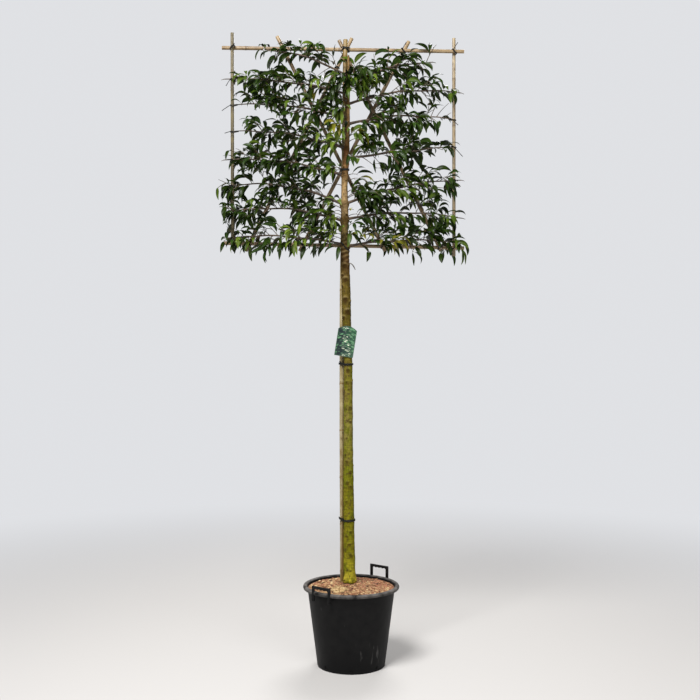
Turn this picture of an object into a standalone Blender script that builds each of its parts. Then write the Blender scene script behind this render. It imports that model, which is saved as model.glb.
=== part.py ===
"""Portuguese laurel trained flat as an espalier on a bamboo frame, standing in its nursery pot.

Metres, +Z up. The origin is the centre of the pot's flat underside, and the crown lies in the XZ plane.
"""

import math
import random

import bmesh
import bpy
import numpy as np
from mathutils import Matrix, Vector

# Clearances between pieces that touch
GAP = 0.0003
TIE_GAP = 0.0004

# Nursery pot
POT_HEIGHT = 0.400
RIM_RADIUS = 0.240
RIM_LIP = 0.018
WALL = 0.0035
SHOULDER_RADIUS = 0.2205
BASE_RADIUS = 0.1690
POT_SIDES = 32

# Compost, crowned a little around the stem
SOIL_EDGE_HEIGHT = 0.386
SOIL_TOP = 0.402
SOIL_FLAT_RADIUS = 0.055

# The two handles, which slide in slots of the rim
HANDLE_ANGLE = math.radians(51)
HANDLE_CIRCLE = 0.2365
HANDLE_SPREAD = 0.0500
HANDLE_POST = 0.0155
HANDLE_DEPTH = 0.009
HANDLE_BAR = 0.0155
HANDLE_LENGTH = 0.075
BACK_HANDLE_TOP = 0.457
FRONT_HANDLE_TOP = 0.426

# Trunk: height, x, y and radius, from the flat cut on the compost to the leader's tip
TRUNK_ROWS = [
    (SOIL_TOP + GAP, -0.008, 0.000, 0.0360),
    (0.420, -0.008, 0.000, 0.0335),
    (0.460, -0.009, 0.000, 0.0305),
    (0.720, -0.012, 0.000, 0.0275),
    (0.920, -0.014, 0.000, 0.0260),
    (1.120, -0.015, 0.000, 0.0238),
    (1.500, -0.016, 0.000, 0.0215),
    (1.745, -0.023, 0.000, 0.0222),
    (2.010, -0.030, 0.000, 0.0212),
    (2.070, -0.031, 0.000, 0.0205),
    (2.130, -0.032, 0.000, 0.0172),
    (2.270, -0.033, 0.000, 0.0185),
    (2.340, -0.033, 0.000, 0.0160),
    (2.450, -0.031, 0.000, 0.0152),
    (2.520, -0.026, 0.001, 0.0165),
    (2.590, -0.021, 0.002, 0.0125),
    (2.670, -0.017, 0.004, 0.0100),
    (2.820, -0.015, 0.005, 0.0082),
    (3.045, -0.0135, 0.007, 0.0050),
]
TRUNK_STEP = 0.085

# Upright cane behind the trunk: height, x and y
UPRIGHT_RADIUS = 0.0115
UPRIGHT_Y = 0.0325
UPRIGHT_ROWS = [
    (0.180, -0.0437),
    (0.420, -0.0442),
    (1.120, -0.0473),
    (1.800, -0.0473),
    (2.320, -0.0392),
    (2.820, -0.0337),
    (3.132, -0.0286),
]

# Frame canes: 1.2 m rods, tied to the upright in layers one behind the other
RAIL_RADIUS = 0.0095
SIDE_RADIUS = 0.0085
BRACE_RADIUS = 0.0095
BRACE_NESTING = 0.0003
RAIL_Y = UPRIGHT_Y + UPRIGHT_RADIUS + RAIL_RADIUS + GAP
FRONT_SIDE_Y = RAIL_Y - RAIL_RADIUS - SIDE_RADIUS - GAP
BACK_SIDE_Y = RAIL_Y + RAIL_RADIUS + SIDE_RADIUS + GAP
BRACE_Y = RAIL_Y + RAIL_RADIUS + BRACE_RADIUS + GAP
REAR_BRACE_Y = BRACE_Y + 2 * BRACE_RADIUS - BRACE_NESTING
LEFT_SIDE_X = -0.599
RIGHT_SIDE_X = 0.521

# Bamboo: a ring at each node, and a slight taper
NODE_SPACING = 0.235
NODE_RING = 0.005
NODE_SWELL = 1.09
NODE_CLEAR = 0.024
CANE_TAPER = 0.03

# Tiers of trained side branches, numbered from the lowest: side, height at the trunk, at a third of the way
# and at the side cane, length as a share of the way to the side cane, and shoots on the branch
TIERS = [
    ("left", 2.095, 2.128, 2.134, 1.06, 11),
    ("left", 2.212, 2.262, 2.265, 1.06, 10),
    ("left", 2.295, 2.365, 2.396, 1.06, 10),
    ("left", 2.440, 2.492, 2.526, 1.06, 10),
    ("left", 2.575, 2.632, 2.667, 0.96, 10),
    ("left", 2.730, 2.775, 2.800, 0.97, 10),
    ("left", 2.850, 2.895, 2.931, 1.06, 9),
    ("left", 2.940, 3.030, 3.066, 0.74, 5),
    ("right", 2.088, 2.112, 2.115, 1.07, 11),
    ("right", 2.222, 2.252, 2.242, 1.07, 10),
    ("right", 2.300, 2.362, 2.428, 1.06, 10),
    ("right", 2.530, 2.552, 2.598, 0.99, 10),
    ("right", 2.700, 2.735, 2.733, 0.97, 9),
    ("right", 2.800, 2.850, 2.873, 1.06, 9),
    ("right", 2.900, 2.975, 3.014, 0.79, 9),
]
TIER_KNEE = 0.33
CROWN_TOP = 3.108
CROWN_BOTTOM = 1.985
CROWN_FRONT = -0.125
CROWN_BACK = 0.185
CROWN_TIP_ROOM = 0.035
BRANCH_END_Y = {"left": 0.0205, "right": 0.0540}
SPACE_MARGIN = 0.0015

# Boughs: the bare foot of each branch, from the trunk to where its leaves begin. Shorter on the slim leader
BOUGH_LENGTH = 0.085
BOUGH_FOOT_RADIUS = 0.0068
BOUGH_TIP_RADIUS = 0.0050
BOUGH_MOST_OF_TRUNK = 0.55
BOUGH_TAPER = 0.8
BOUGH_SINK = 0.2
BOUGH_FLARE = 0.2
LEADER_RADIUS = 0.0105
LEADER_BOUGH_SHARE = 0.6

# Twigs and leaves of a mass
STEM_FOOT_RADIUS = 0.0050
STEM_TIP_RADIUS = 0.0030
SHOOT_LENGTH = 0.105
SHOOT_FOOT_RADIUS = 0.0034
SHOOT_TIP_RADIUS = 0.0022
SHOOT_TURNS = (50, 200, -60, 130, -20, 250)
SHOOT_SCALES = (1.0, 0.75, 0.5)
SHOOT_LEAVES = (0.42, 0.68, 0.90)
LEAF_LENGTH = 0.108
LEAF_WIDTH = 0.040
LEAF_KEEL = 0.0035
LEAF_WIDEST = 0.45
LEAF_ARCH = 0.13
LEAF_FACING = 1.3
LEAF_SPREADS = (0.9, 0.5, -0.7, -0.3)
LEAF_DROOPS = (0.2, 0.7, 0.0, -0.3)
LIMB_CLEARANCE = 0.004
LEAF_SPACING = 0.002
CORNER_TIE_REACH = 0.016
MIDDLE_TIE_REACH = 0.034

# Plant label, held to the trunk by a thin loop
LABEL_WIDTH = 0.094
LABEL_HEIGHT = 0.153
LABEL_ARCH = 0.0185
LABEL_THICKNESS = 0.0010
LABEL_LEAN = math.radians(9)
LABEL_CENTRE = (-0.0265, 1.6137)
LABEL_LOOP_HEIGHT = 1.678
LABEL_LOOP_SPREAD = 0.013

# Black ties
TIE_RADIUS = 0.0028
TOP_TIE_SLANT = math.radians(24)
BOTTOM_TIE_SLANT = math.radians(135)
CORNER_TIES = (("top", "left", 45), ("top", "right", 135), ("bottom", "left", 135), ("bottom", "right", 45))
TRUNK_TIE_HEIGHTS = {"tie_trunk_low": 0.722, "tie_trunk_high": 1.500, "tie_crown": 2.472}


def clear_scene():
    for item in list(bpy.data.objects):
        bpy.data.objects.remove(item)


def new_collection(name, hidden=False):
    made = bpy.data.collections.new(name)
    made.hide_render = hidden
    bpy.context.scene.collection.children.link(made)
    return made


def material(name, colour, roughness, metallic=0.0):
    made = bpy.data.materials.new(name)
    made.use_nodes = True
    shader = made.node_tree.nodes["Principled BSDF"]
    shader.inputs["Base Color"].default_value = (*colour, 1.0)
    shader.inputs["Roughness"].default_value = roughness
    shader.inputs["Metallic"].default_value = metallic
    made.diffuse_color = (*colour, 1.0)
    return made


clear_scene()
PARTS = new_collection("espalier_portuguese_laurel")
CUTTERS = new_collection("cutters", hidden=True)
BLACK_PLASTIC = material("black_plastic", (0.022, 0.022, 0.024), 0.55)
COMPOST = material("bark_topped_compost", (0.36, 0.20, 0.11), 0.95)
TRUNK_BARK = material("algae_green_bark", (0.20, 0.16, 0.05), 0.85)
BRANCH_BARK = material("red_brown_bark", (0.12, 0.06, 0.03), 0.75)
BAMBOO = material("bamboo", (0.56, 0.43, 0.26), 0.50)
LEAF_GREEN = material("glossy_leaf_green", (0.025, 0.075, 0.022), 0.35)
TIE_BLACK = material("black_tie", (0.018, 0.018, 0.018), 0.60)
LABEL_GREEN = material("label_green", (0.05, 0.24, 0.13), 0.35)
LOOP_WHITE = material("label_loop", (0.62, 0.68, 0.60), 0.45)


def link(item, surface, collection=PARTS):
    """Puts the object in its collection with its material."""
    item.data.materials.append(surface)
    collection.objects.link(item)
    if collection is CUTTERS:
        item.hide_render = True
        item.display_type = "WIRE"
    return item


def turned(name, profile, surface, sides):
    """A solid of revolution from (radius, height) points that end on the axis and run down the outer side."""
    mesh = bpy.data.meshes.new(name)
    edges = [(i, i + 1) for i in range(len(profile) - 1)]
    mesh.from_pydata([(radius, 0.0, height) for radius, height in profile], edges, [])
    item = link(bpy.data.objects.new(name, mesh), surface)
    screw = item.modifiers.new("turn", "SCREW")
    screw.steps = sides
    screw.render_steps = sides
    screw.use_merge_vertices = True
    screw.merge_threshold = 0.00001
    return item


def tube(name, points, radii, resolution, surface, collection=PARTS, cyclic=False):
    """A round rod along points, with a radius at each, and flat ends."""
    curve = bpy.data.curves.new(name, "CURVE")
    curve.dimensions = "3D"
    curve.bevel_depth = 1.0
    curve.bevel_resolution = resolution
    curve.use_fill_caps = not cyclic
    spline = curve.splines.new("POLY")
    spline.points.add(len(points) - 1)
    spline.use_cyclic_u = cyclic
    for point, place, radius in zip(spline.points, points, radii):
        point.co = (*place, 1.0)
        point.radius = radius
    return link(bpy.data.objects.new(name, curve), surface, collection)


def face_outward(shape):
    """Turns the faces of a closed shape outward."""
    bmesh.ops.recalc_face_normals(shape, faces=shape.faces)
    if shape.calc_volume(signed=True) < 0:
        bmesh.ops.reverse_faces(shape, faces=shape.faces)


def as_mesh(item):
    """Replaces a curve object by the mesh that it makes, its caps welded on."""
    graph = bpy.context.evaluated_depsgraph_get()
    mesh = bpy.data.meshes.new_from_object(item.evaluated_get(graph))
    shape = bmesh.new()
    shape.from_mesh(mesh)
    bmesh.ops.remove_doubles(shape, verts=shape.verts, dist=0.000001)
    face_outward(shape)
    shape.to_mesh(mesh)
    shape.free()
    name = item.name
    made = bpy.data.objects.new(name, mesh)
    made.matrix_world = item.matrix_world
    for collection in item.users_collection:
        collection.objects.link(made)
    hidden = item.hide_render
    bpy.data.objects.remove(item)
    made.name = name
    made.hide_render = hidden
    return made


def cut(item, cutter):
    """Subtracts one cutter object."""
    modifier = item.modifiers.new("cut_" + cutter.name, "BOOLEAN")
    modifier.operation = "DIFFERENCE"
    modifier.object = cutter
    modifier.solver = "EXACT"


def smooth_row(rows, height):
    """The values of the rows at a height, on a smooth curve through them."""
    heights = [row[0] for row in rows]
    height = min(max(height, heights[0]), heights[-1])
    above = next(i for i, h in enumerate(heights) if h >= height)
    low = max(above - 1, 0)
    high = low + 1
    span = heights[high] - heights[low]
    share = (height - heights[low]) / span
    before, after = max(low - 1, 0), min(high + 1, len(rows) - 1)
    values = []
    for column in range(1, len(rows[0])):
        start, end = rows[low][column], rows[high][column]
        slope_in = (end - rows[before][column]) / (heights[high] - heights[before])
        slope_out = (rows[after][column] - start) / (heights[after] - heights[low])
        values.append(
            start * (1 + 2 * share) * (1 - share) ** 2
            + end * share**2 * (3 - 2 * share)
            + slope_in * span * share * (1 - share) ** 2
            - slope_out * span * share**2 * (1 - share)
        )
    return values


def hull(points):
    """The convex outline of flat points, anticlockwise."""
    points = sorted(set(points))

    def chain(ordered):
        kept = []
        for p in ordered:
            while len(kept) > 1:
                (ax, ay), (bx, by) = kept[-2], kept[-1]
                if (bx - ax) * (p[1] - ay) - (by - ay) * (p[0] - ax) > 1e-12:
                    break
                kept.pop()
            kept.append(p)
        return kept[:-1]

    return chain(points) + chain(points[::-1])


def belt(circles, tie_radius, sides=8):
    """The line of a tie pulled round (u, v, radius) circles, clear of them by TIE_GAP."""
    around = []
    for u, v, radius in circles:
        reach = (radius + tie_radius + TIE_GAP) / math.cos(math.pi / sides)
        for k in range(sides):
            angle = 2 * math.pi * (k + 0.5) / sides
            around.append((u + reach * math.cos(angle), v + reach * math.sin(angle)))
    return hull(around)


# Nursery pot and compost


def wall_radius(height):
    """Outer radius of the tapering pot wall."""
    return BASE_RADIUS + (SHOULDER_RADIUS - BASE_RADIUS) * height / POT_HEIGHT


def build_pot():
    lip_foot = POT_HEIGHT - RIM_LIP
    under = POT_HEIGHT - WALL
    profile = [
        (0.0, WALL),
        (wall_radius(WALL) - WALL, WALL),
        (wall_radius(POT_HEIGHT) - WALL, POT_HEIGHT - 0.004),
        (SHOULDER_RADIUS + 0.002, POT_HEIGHT),
        (RIM_RADIUS - 0.007, POT_HEIGHT),
        (RIM_RADIUS - 0.0015, POT_HEIGHT - 0.004),
        (RIM_RADIUS, POT_HEIGHT - 0.010),
        (RIM_RADIUS - 0.001, lip_foot),
        (RIM_RADIUS - WALL, lip_foot),
        (RIM_RADIUS - 0.008, under),
        (wall_radius(under) + 0.002, under),
        (wall_radius(under - 0.004), under - 0.004),
        (wall_radius(0.008), 0.008),
        (BASE_RADIUS - 0.003, 0.0),
        (0.0, 0.0),
    ]
    return turned("pot", profile, BLACK_PLASTIC, POT_SIDES)


def build_compost(upright_cutter):
    def inner(height):
        return wall_radius(height) - WALL - 0.0008

    floor = WALL + GAP
    profile = [
        (0.0, SOIL_TOP),
        (SOIL_FLAT_RADIUS, SOIL_TOP),
        (0.13, 0.397),
        (inner(SOIL_EDGE_HEIGHT), SOIL_EDGE_HEIGHT),
        (inner(floor), floor),
        (0.0, floor),
    ]
    soil = turned("compost", profile, COMPOST, POT_SIDES)
    cut(soil, upright_cutter)


def handle_outline():
    """Outline of a U-shaped handle with a wavy grip, in its own plane, the top of the bar at height 0."""
    outer = HANDLE_SPREAD + HANDLE_POST / 2
    inner = HANDLE_SPREAD - HANDLE_POST / 2
    corner = 0.006
    foot = -HANDLE_LENGTH
    points = [(-outer, foot), (-outer, -corner), (-outer + corner, 0.0)]
    points += [(outer - corner, 0.0), (outer, -corner), (outer, foot), (inner, foot)]
    waves = 4
    steps = 16
    for k in range(steps + 1):
        x = inner - 2 * inner * k / steps
        wave = 0.0012 * (1 - math.cos(2 * math.pi * waves * k / steps))
        points.append((x, -HANDLE_BAR + wave))
    points.append((-inner, foot))
    return points[::-1]


def build_handle(name, angle, top, pot):
    """One handle, its posts standing in two slots cut through the rim's top and skirt."""
    chord = math.sqrt(HANDLE_CIRCLE**2 - HANDLE_SPREAD**2)
    middle = Vector((chord * math.cos(angle), chord * math.sin(angle), top))
    along = Vector((-math.sin(angle), math.cos(angle), 0.0))
    outward = Vector((math.cos(angle), math.sin(angle), 0.0))
    curve = bpy.data.curves.new(name, "CURVE")
    curve.dimensions = "2D"
    curve.fill_mode = "BOTH"
    curve.extrude = HANDLE_DEPTH / 2
    outline = handle_outline()
    spline = curve.splines.new("POLY")
    spline.points.add(len(outline) - 1)
    spline.use_cyclic_u = True
    for point, (x, y) in zip(spline.points, outline):
        point.co = (x, y, 0.0, 1.0)
    handle = link(bpy.data.objects.new(name, curve), BLACK_PLASTIC)
    turn = Matrix((along, (0.0, 0.0, 1.0), -outward)).transposed()
    handle.matrix_world = Matrix.Translation(middle) @ turn.to_4x4()
    for side in (-1, 1):
        post = middle + along * side * HANDLE_SPREAD
        post.z = POT_HEIGHT
        mesh = bpy.data.meshes.new("slot")
        shape = bmesh.new()
        bmesh.ops.create_cube(shape, size=1.0)
        size = Vector((HANDLE_POST + 2 * TIE_GAP, 0.07, HANDLE_DEPTH + 2 * TIE_GAP))
        bmesh.ops.scale(shape, vec=size, verts=shape.verts)
        shape.to_mesh(mesh)
        shape.free()
        slot = bpy.data.objects.new(f"{name}_slot", mesh)
        link(slot, BLACK_PLASTIC, CUTTERS)
        slot.matrix_world = Matrix.Translation(post) @ turn.to_4x4()
        cut(pot, slot)


# Trunk, upright cane and frame


def trunk_at(height):
    """(x, y, radius) of the trunk."""
    return smooth_row(TRUNK_ROWS, height)


def upright_x(height):
    return smooth_row(UPRIGHT_ROWS, height)[0]


def trunk_line(grow=0.0):
    """Points and radii up the trunk, with a vertical first step so that its foot is cut flat."""
    low, high = TRUNK_ROWS[0][0], TRUNK_ROWS[-1][0]
    heights = [low, low + 0.008, low + 0.02, low + 0.05]
    count = math.ceil((high - heights[-1]) / TRUNK_STEP)
    step = (high - heights[-1]) / count
    heights += [heights[-1] + step * (k + 1) for k in range(count)]
    points = [Vector((*trunk_at(h)[:2], h)) for h in heights]
    points[0].xy = points[1].xy
    return points, [trunk_at(h)[2] + grow for h in heights]


def node_stations(length, crossings, first):
    """(distance, swelling) along a bamboo cane. A ring that would lie where another cane crosses is left out."""
    stations = [(0.0, 1.0)]
    along = first
    while along < length - 0.02:
        if all(abs(along - c) > NODE_CLEAR for c in crossings):
            stations += [(along - NODE_RING, 1.0), (along, NODE_SWELL), (along + NODE_RING, 1.0)]
        along += NODE_SPACING
    stations.append((length, 1.0))
    return stations


class Cane:
    """A straight frame cane between two points."""

    def __init__(self, name, start, end, radius, first_node):
        self.name = name
        self.start = Vector(start)
        self.end = Vector(end)
        self.radius = radius
        self.first_node = first_node

    @property
    def length(self):
        return (self.end - self.start).length

    def radius_at(self, along):
        return self.radius * (1 - CANE_TAPER * along / self.length)

    def crossing(self, other):
        """Distances along this cane and the other at which they cross in the XZ view, or None."""
        a, b = self.end - self.start, other.end - other.start
        gap = other.start - self.start
        turn = a.x * b.z - a.z * b.x
        if abs(turn) < 1e-6:
            return None
        mine = (gap.x * b.z - gap.z * b.x) / turn
        its = (gap.x * a.z - gap.z * a.x) / turn
        if not (0 <= mine <= 1 and 0 <= its <= 1):
            return None
        return mine * self.length, its * other.length

    def point(self, along):
        return self.start.lerp(self.end, along / self.length)

    def build(self, others):
        met = [self.crossing(o) for o in others if o is not self]
        crossings = [m[0] for m in met if m]
        stations = node_stations(self.length, crossings, self.first_node)
        points = [self.point(along) for along, _ in stations]
        radii = [self.radius_at(along) * swell for along, swell in stations]
        tube(self.name, points, radii, 2, BAMBOO)


def frame_canes():
    """Two rails, two sides and four braces, from where their ends show."""
    left, right = LEFT_SIDE_X, RIGHT_SIDE_X
    return [
        Cane("rail_top", (-0.653, RAIL_Y, 3.097), (0.570, RAIL_Y, 3.078), RAIL_RADIUS, 0.12),
        Cane("rail_bottom", (-0.643, RAIL_Y, 2.110), (0.570, RAIL_Y, 2.085), RAIL_RADIUS, 0.17),
        Cane("side_left", (left + 0.002, FRONT_SIDE_Y, 2.074), (left, FRONT_SIDE_Y, 3.167), SIDE_RADIUS, 0.10),
        Cane("side_right", (right, BACK_SIDE_Y, 2.046), (right, BACK_SIDE_Y, 3.151), SIDE_RADIUS, 0.19),
        Cane("brace_left_out", (0.172, BRACE_Y, 2.072), (-0.376, BRACE_Y, 3.161), BRACE_RADIUS, 0.14),
        Cane("brace_right_in", (0.456, BRACE_Y, 2.072), (-0.062, BRACE_Y, 3.141), BRACE_RADIUS, 0.08),
        Cane("brace_left_in", (-0.537, REAR_BRACE_Y, 2.073), (0.004, REAR_BRACE_Y, 3.157), BRACE_RADIUS, 0.10),
        Cane("brace_right_out", (-0.262, REAR_BRACE_Y, 2.073), (0.294, REAR_BRACE_Y, 3.141), BRACE_RADIUS, 0.18),
    ]


def build_upright(canes):
    """The long cane that carries the frame, pushed down into the compost beside the trunk."""
    low, high = UPRIGHT_ROWS[0][0], UPRIGHT_ROWS[-1][0]
    rails = [c for c in canes if c.name.startswith(("rail", "brace"))]
    crossings = []
    for rail in rails:
        share = (upright_x(2.6) - rail.start.x) / (rail.end.x - rail.start.x)
        if 0 <= share <= 1:
            crossings.append(rail.start.lerp(rail.end, share).z - low)
    crossings += [height - low for height in TRUNK_TIE_HEIGHTS.values()]
    crossings.append(LABEL_LOOP_HEIGHT - low)
    stations = node_stations(high - low, crossings, 0.28)
    points = [Vector((upright_x(low + a), UPRIGHT_Y, low + a)) for a, _ in stations]
    radii = [UPRIGHT_RADIUS * swell for _, swell in stations]
    tube("upright_cane", points, radii, 2, BAMBOO)
    grown = [radius + GAP for radius in radii]
    return as_mesh(tube("upright_hole", points, grown, 2, BAMBOO, CUTTERS))


# Ties


def build_tie(name, centre, across, circles, tie_radius=TIE_RADIUS, surface=TIE_BLACK):
    """A tie round (u, v, radius) circles, in the plane of the unit vector across and the Y axis."""
    line = belt(circles, tie_radius)
    points = [centre + across * u + Vector((0.0, v, 0.0)) for u, v in line]
    return tube(name, points, [tie_radius] * len(points), 0, surface, cyclic=True)


def build_trunk_ties():
    across = Vector((1.0, 0.0, 0.0))
    for name, height in TRUNK_TIE_HEIGHTS.items():
        x, y, radius = trunk_at(height)
        circles = [(x, y, radius), (upright_x(height), UPRIGHT_Y, UPRIGHT_RADIUS)]
        build_tie(name, Vector((0.0, 0.0, height)), across, circles)


def rod_section(start, end, radius, centre, across):
    """Circles that cover the slanting section of a rod by a tie's plane."""
    line = (end - start).normalized()
    normal = Vector((-across.z, 0.0, across.x))
    sine = line.dot(normal)
    spot = start + line * ((centre - start).dot(normal) / sine)
    along = (spot - centre).dot(across)
    stretch = (radius + TIE_RADIUS + TIE_GAP) * (1 / abs(sine) - 1)
    return [(along - stretch, spot.y, radius), (along + stretch, spot.y, radius)]


def build_frame_tie(name, centre, slant, rods):
    """A tie over crossing rods, each (start, end, radius), in a plane at the slant angle to the horizontal."""
    across = Vector((math.cos(slant), 0.0, math.sin(slant)))
    circles = []
    for start, end, radius in rods:
        circles += rod_section(start, end, radius, centre, across)
    build_tie(name, Vector((centre.x, 0.0, centre.z)), across, circles)


def build_frame_ties(canes):
    """Ties where the rails meet the side canes, the upright and the trunk."""
    named = {c.name: c for c in canes}

    def rod(cane):
        return cane.start, cane.end, cane.radius

    for level, side, slant in CORNER_TIES:
        rail, post = named[f"rail_{level}"], named[f"side_{side}"]
        centre = rail.point(rail.crossing(post)[0])
        build_frame_tie(f"tie_{level}_{side}", centre, math.radians(slant), [rod(rail), rod(post)])

    def upright_rod(height):
        ends = [Vector((upright_x(h), UPRIGHT_Y, h)) for h in (height - 0.04, height + 0.04)]
        return (*ends, UPRIGHT_RADIUS)

    def middle_of(rail):
        x = upright_x(rail.start.z)
        return rail.start.lerp(rail.end, (x - rail.start.x) / (rail.end.x - rail.start.x))

    rail = named["rail_top"]
    centre = middle_of(rail)
    rods = [rod(rail), upright_rod(centre.z), rod(named["brace_right_in"]), rod(named["brace_left_in"])]
    build_frame_tie("tie_top_middle", centre, TOP_TIE_SLANT, rods)
    rail = named["rail_bottom"]
    centre = middle_of(rail)
    x, y, radius = trunk_at(centre.z)
    thickest = max(trunk_at(centre.z + reach)[2] for reach in (-0.03, 0.0, 0.03))
    trunk_rod = (Vector((x, y, centre.z - 0.04)), Vector((x, y, centre.z + 0.04)), thickest)
    rods = [rod(rail), upright_rod(centre.z), trunk_rod]
    build_frame_tie("tie_bottom_middle", centre, BOTTOM_TIE_SLANT, rods)


# Plant label


def build_label():
    """A thin card with an arched top, leaning across the trunk, threaded on a loop round trunk and cane."""
    height = LABEL_LOOP_HEIGHT
    x, y, radius = trunk_at(height)
    widest = max(trunk_at(LABEL_CENTRE[1] + dz)[2] for dz in (-0.07, 0.0, 0.07))
    back = y - widest - GAP - 0.0005
    front = back - LABEL_THICKNESS
    spread = LABEL_LOOP_SPREAD
    loop_radius = 0.0011
    line = [(x, y, radius), (upright_x(height), UPRIGHT_Y, UPRIGHT_RADIUS)]
    front_y = front - loop_radius - TIE_GAP
    corners = [(x - spread, front_y), (x + spread, front_y)]
    outline = hull(belt(line, loop_radius) + corners)
    points = [Vector((u, v, height)) for u, v in outline]
    tube("label_loop", points, [loop_radius] * len(points), 0, LOOP_WHITE, cyclic=True)
    fat = [loop_radius + 0.0006] * len(points)
    hole = as_mesh(tube("label_hole", points, fat, 0, LOOP_WHITE, CUTTERS, cyclic=True))

    curve = bpy.data.curves.new("label", "CURVE")
    curve.dimensions = "2D"
    curve.fill_mode = "BOTH"
    curve.extrude = LABEL_THICKNESS / 2
    half, bottom = LABEL_WIDTH / 2, -LABEL_HEIGHT / 2
    shoulder = LABEL_HEIGHT / 2 - LABEL_ARCH
    steps = 8
    outline = [(-half, bottom), (half, bottom)]
    for k in range(steps + 1):
        share = 1 - 2 * k / steps
        outline.append((half * share, shoulder + LABEL_ARCH * (1 - share**2)))
    spline = curve.splines.new("POLY")
    spline.points.add(len(outline) - 1)
    spline.use_cyclic_u = True
    for point, (u, v) in zip(spline.points, outline):
        point.co = (u, v, 0.0, 1.0)
    card = link(bpy.data.objects.new("label", curve), LABEL_GREEN)
    stand = Matrix.Rotation(math.pi / 2, 4, "X")
    lean = Matrix.Rotation(LABEL_LEAN, 4, "Y")
    place = Matrix.Translation((LABEL_CENTRE[0], (front + back) / 2, LABEL_CENTRE[1]))
    card.matrix_world = place @ lean @ stand
    bpy.context.view_layer.update()
    card = as_mesh(card)
    cut(card, hole)


# Branches


class Tier:
    """One trained side branch: its line, and the space that its leaves keep to."""

    def __init__(self, side, number, foot, knee, end, share, shoots):
        self.side = side
        self.number = number
        self.sign = -1 if side == "left" else 1
        self.heights = (foot, knee, end)
        self.share = share
        self.shoots = shoots
        self.foot_x = trunk_at(foot)[0]
        self.foot_y = trunk_at(foot)[1]
        end_x = LEFT_SIDE_X if side == "left" else RIGHT_SIDE_X
        self.span = abs(end_x - self.foot_x)
        self.above = None
        self.below = None

    def height(self, share):
        """Height of the branch line at a share of the way from the trunk to the side cane."""
        share = min(max(share, 0.0), 1.04)
        foot, knee, end = self.heights
        at_foot = (share - TIER_KNEE) * (share - 1) / TIER_KNEE
        at_knee = share * (share - 1) / (TIER_KNEE * (TIER_KNEE - 1))
        at_end = share * (share - TIER_KNEE) / (1 - TIER_KNEE)
        return foot * at_foot + knee * at_knee + end * at_end

    def share_of(self, x):
        return self.sign * (x - self.foot_x) / self.span

    def point(self, share):
        depth = self.foot_y + (BRANCH_END_Y[self.side] - self.foot_y) * share**2
        return Vector((self.foot_x + self.sign * self.span * share, depth, self.height(share)))

    def holds(self, points):
        """Whether every point lies in this tier's own space."""
        for p in points:
            share = self.share_of(p.x)
            own = self.height(share)
            top = CROWN_TOP
            bottom = CROWN_BOTTOM
            if self.above:
                top = (own + self.above.height(self.above.share_of(p.x))) / 2
            if self.below:
                bottom = (own + self.below.height(self.below.share_of(p.x))) / 2
            middle = self.sign * (p.x - trunk_at(p.z)[0])
            if not (bottom + SPACE_MARGIN < p.z < top - SPACE_MARGIN):
                return False
            if not (CROWN_FRONT < p.y < CROWN_BACK) or middle < SPACE_MARGIN:
                return False
            if share * self.span > self.span * self.share + CROWN_TIP_ROOM:
                return False
        return True


def make_tiers():
    tiers = []
    for side in ("left", "right"):
        rows = [row for row in TIERS if row[0] == side]
        own = [Tier(side, k + 1, *row[1:]) for k, row in enumerate(rows)]
        for lower, upper in zip(own, own[1:]):
            lower.above = upper
            upper.below = lower
        tiers += own
    return tiers


def build_bough(tier, trunk_cutter):
    """The bare foot of a branch, its root fitted to the trunk's side."""
    trunk_radius = trunk_at(tier.heights[0])[2]
    foot_radius = min(BOUGH_FOOT_RADIUS, BOUGH_MOST_OF_TRUNK * trunk_radius)
    tip_radius = min(BOUGH_TIP_RADIUS, BOUGH_TAPER * foot_radius)
    foot_share = BOUGH_SINK * trunk_radius / tier.span
    tip_share = bough_share(tier)
    steps = 4
    points, radii = [], []
    for k in range(steps + 1):
        points.append(tier.point(foot_share + (tip_share - foot_share) * k / steps))
        flare = BOUGH_FLARE * foot_radius * max(0.0, 1 - 3 * k / steps)
        radii.append(foot_radius + (tip_radius - foot_radius) * k / steps + flare)
    bough = as_mesh(tube(f"bough_{tier.side}_{tier.number}", points, radii, 1, BRANCH_BARK))
    cut(bough, trunk_cutter)


def bough_share(tier):
    """Where the bough ends and its leafy mass begins, as a share of the branch."""
    trunk_radius = trunk_at(tier.heights[0])[2]
    length = BOUGH_LENGTH * (LEADER_BOUGH_SHARE if trunk_radius < LEADER_RADIUS else 1.0)
    return (trunk_radius + length) / tier.span


# Masses of foliage


class Limbs:
    """Everything solid that a leaf must not touch, as rods with a radius."""

    def __init__(self):
        self.starts, self.ends, self.radii = [], [], []

    def add(self, points, radii):
        for a, b, ra, rb in zip(points, points[1:], radii, radii[1:]):
            self.starts.append(tuple(a))
            self.ends.append(tuple(b))
            self.radii.append(max(ra, rb))

    def clear(self, points, clearance):
        """Whether all points are further than this from every rod."""
        if not self.starts:
            return True
        starts = np.array(self.starts)
        line = np.array(self.ends) - starts
        gap = np.array([tuple(p) for p in points])[:, None, :] - starts
        share = np.clip((gap * line).sum(axis=2) / (line**2).sum(axis=1), 0.0, 1.0)
        away = np.linalg.norm(gap - share[..., None] * line, axis=2)
        return not (away < np.array(self.radii) + clearance).any()


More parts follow.
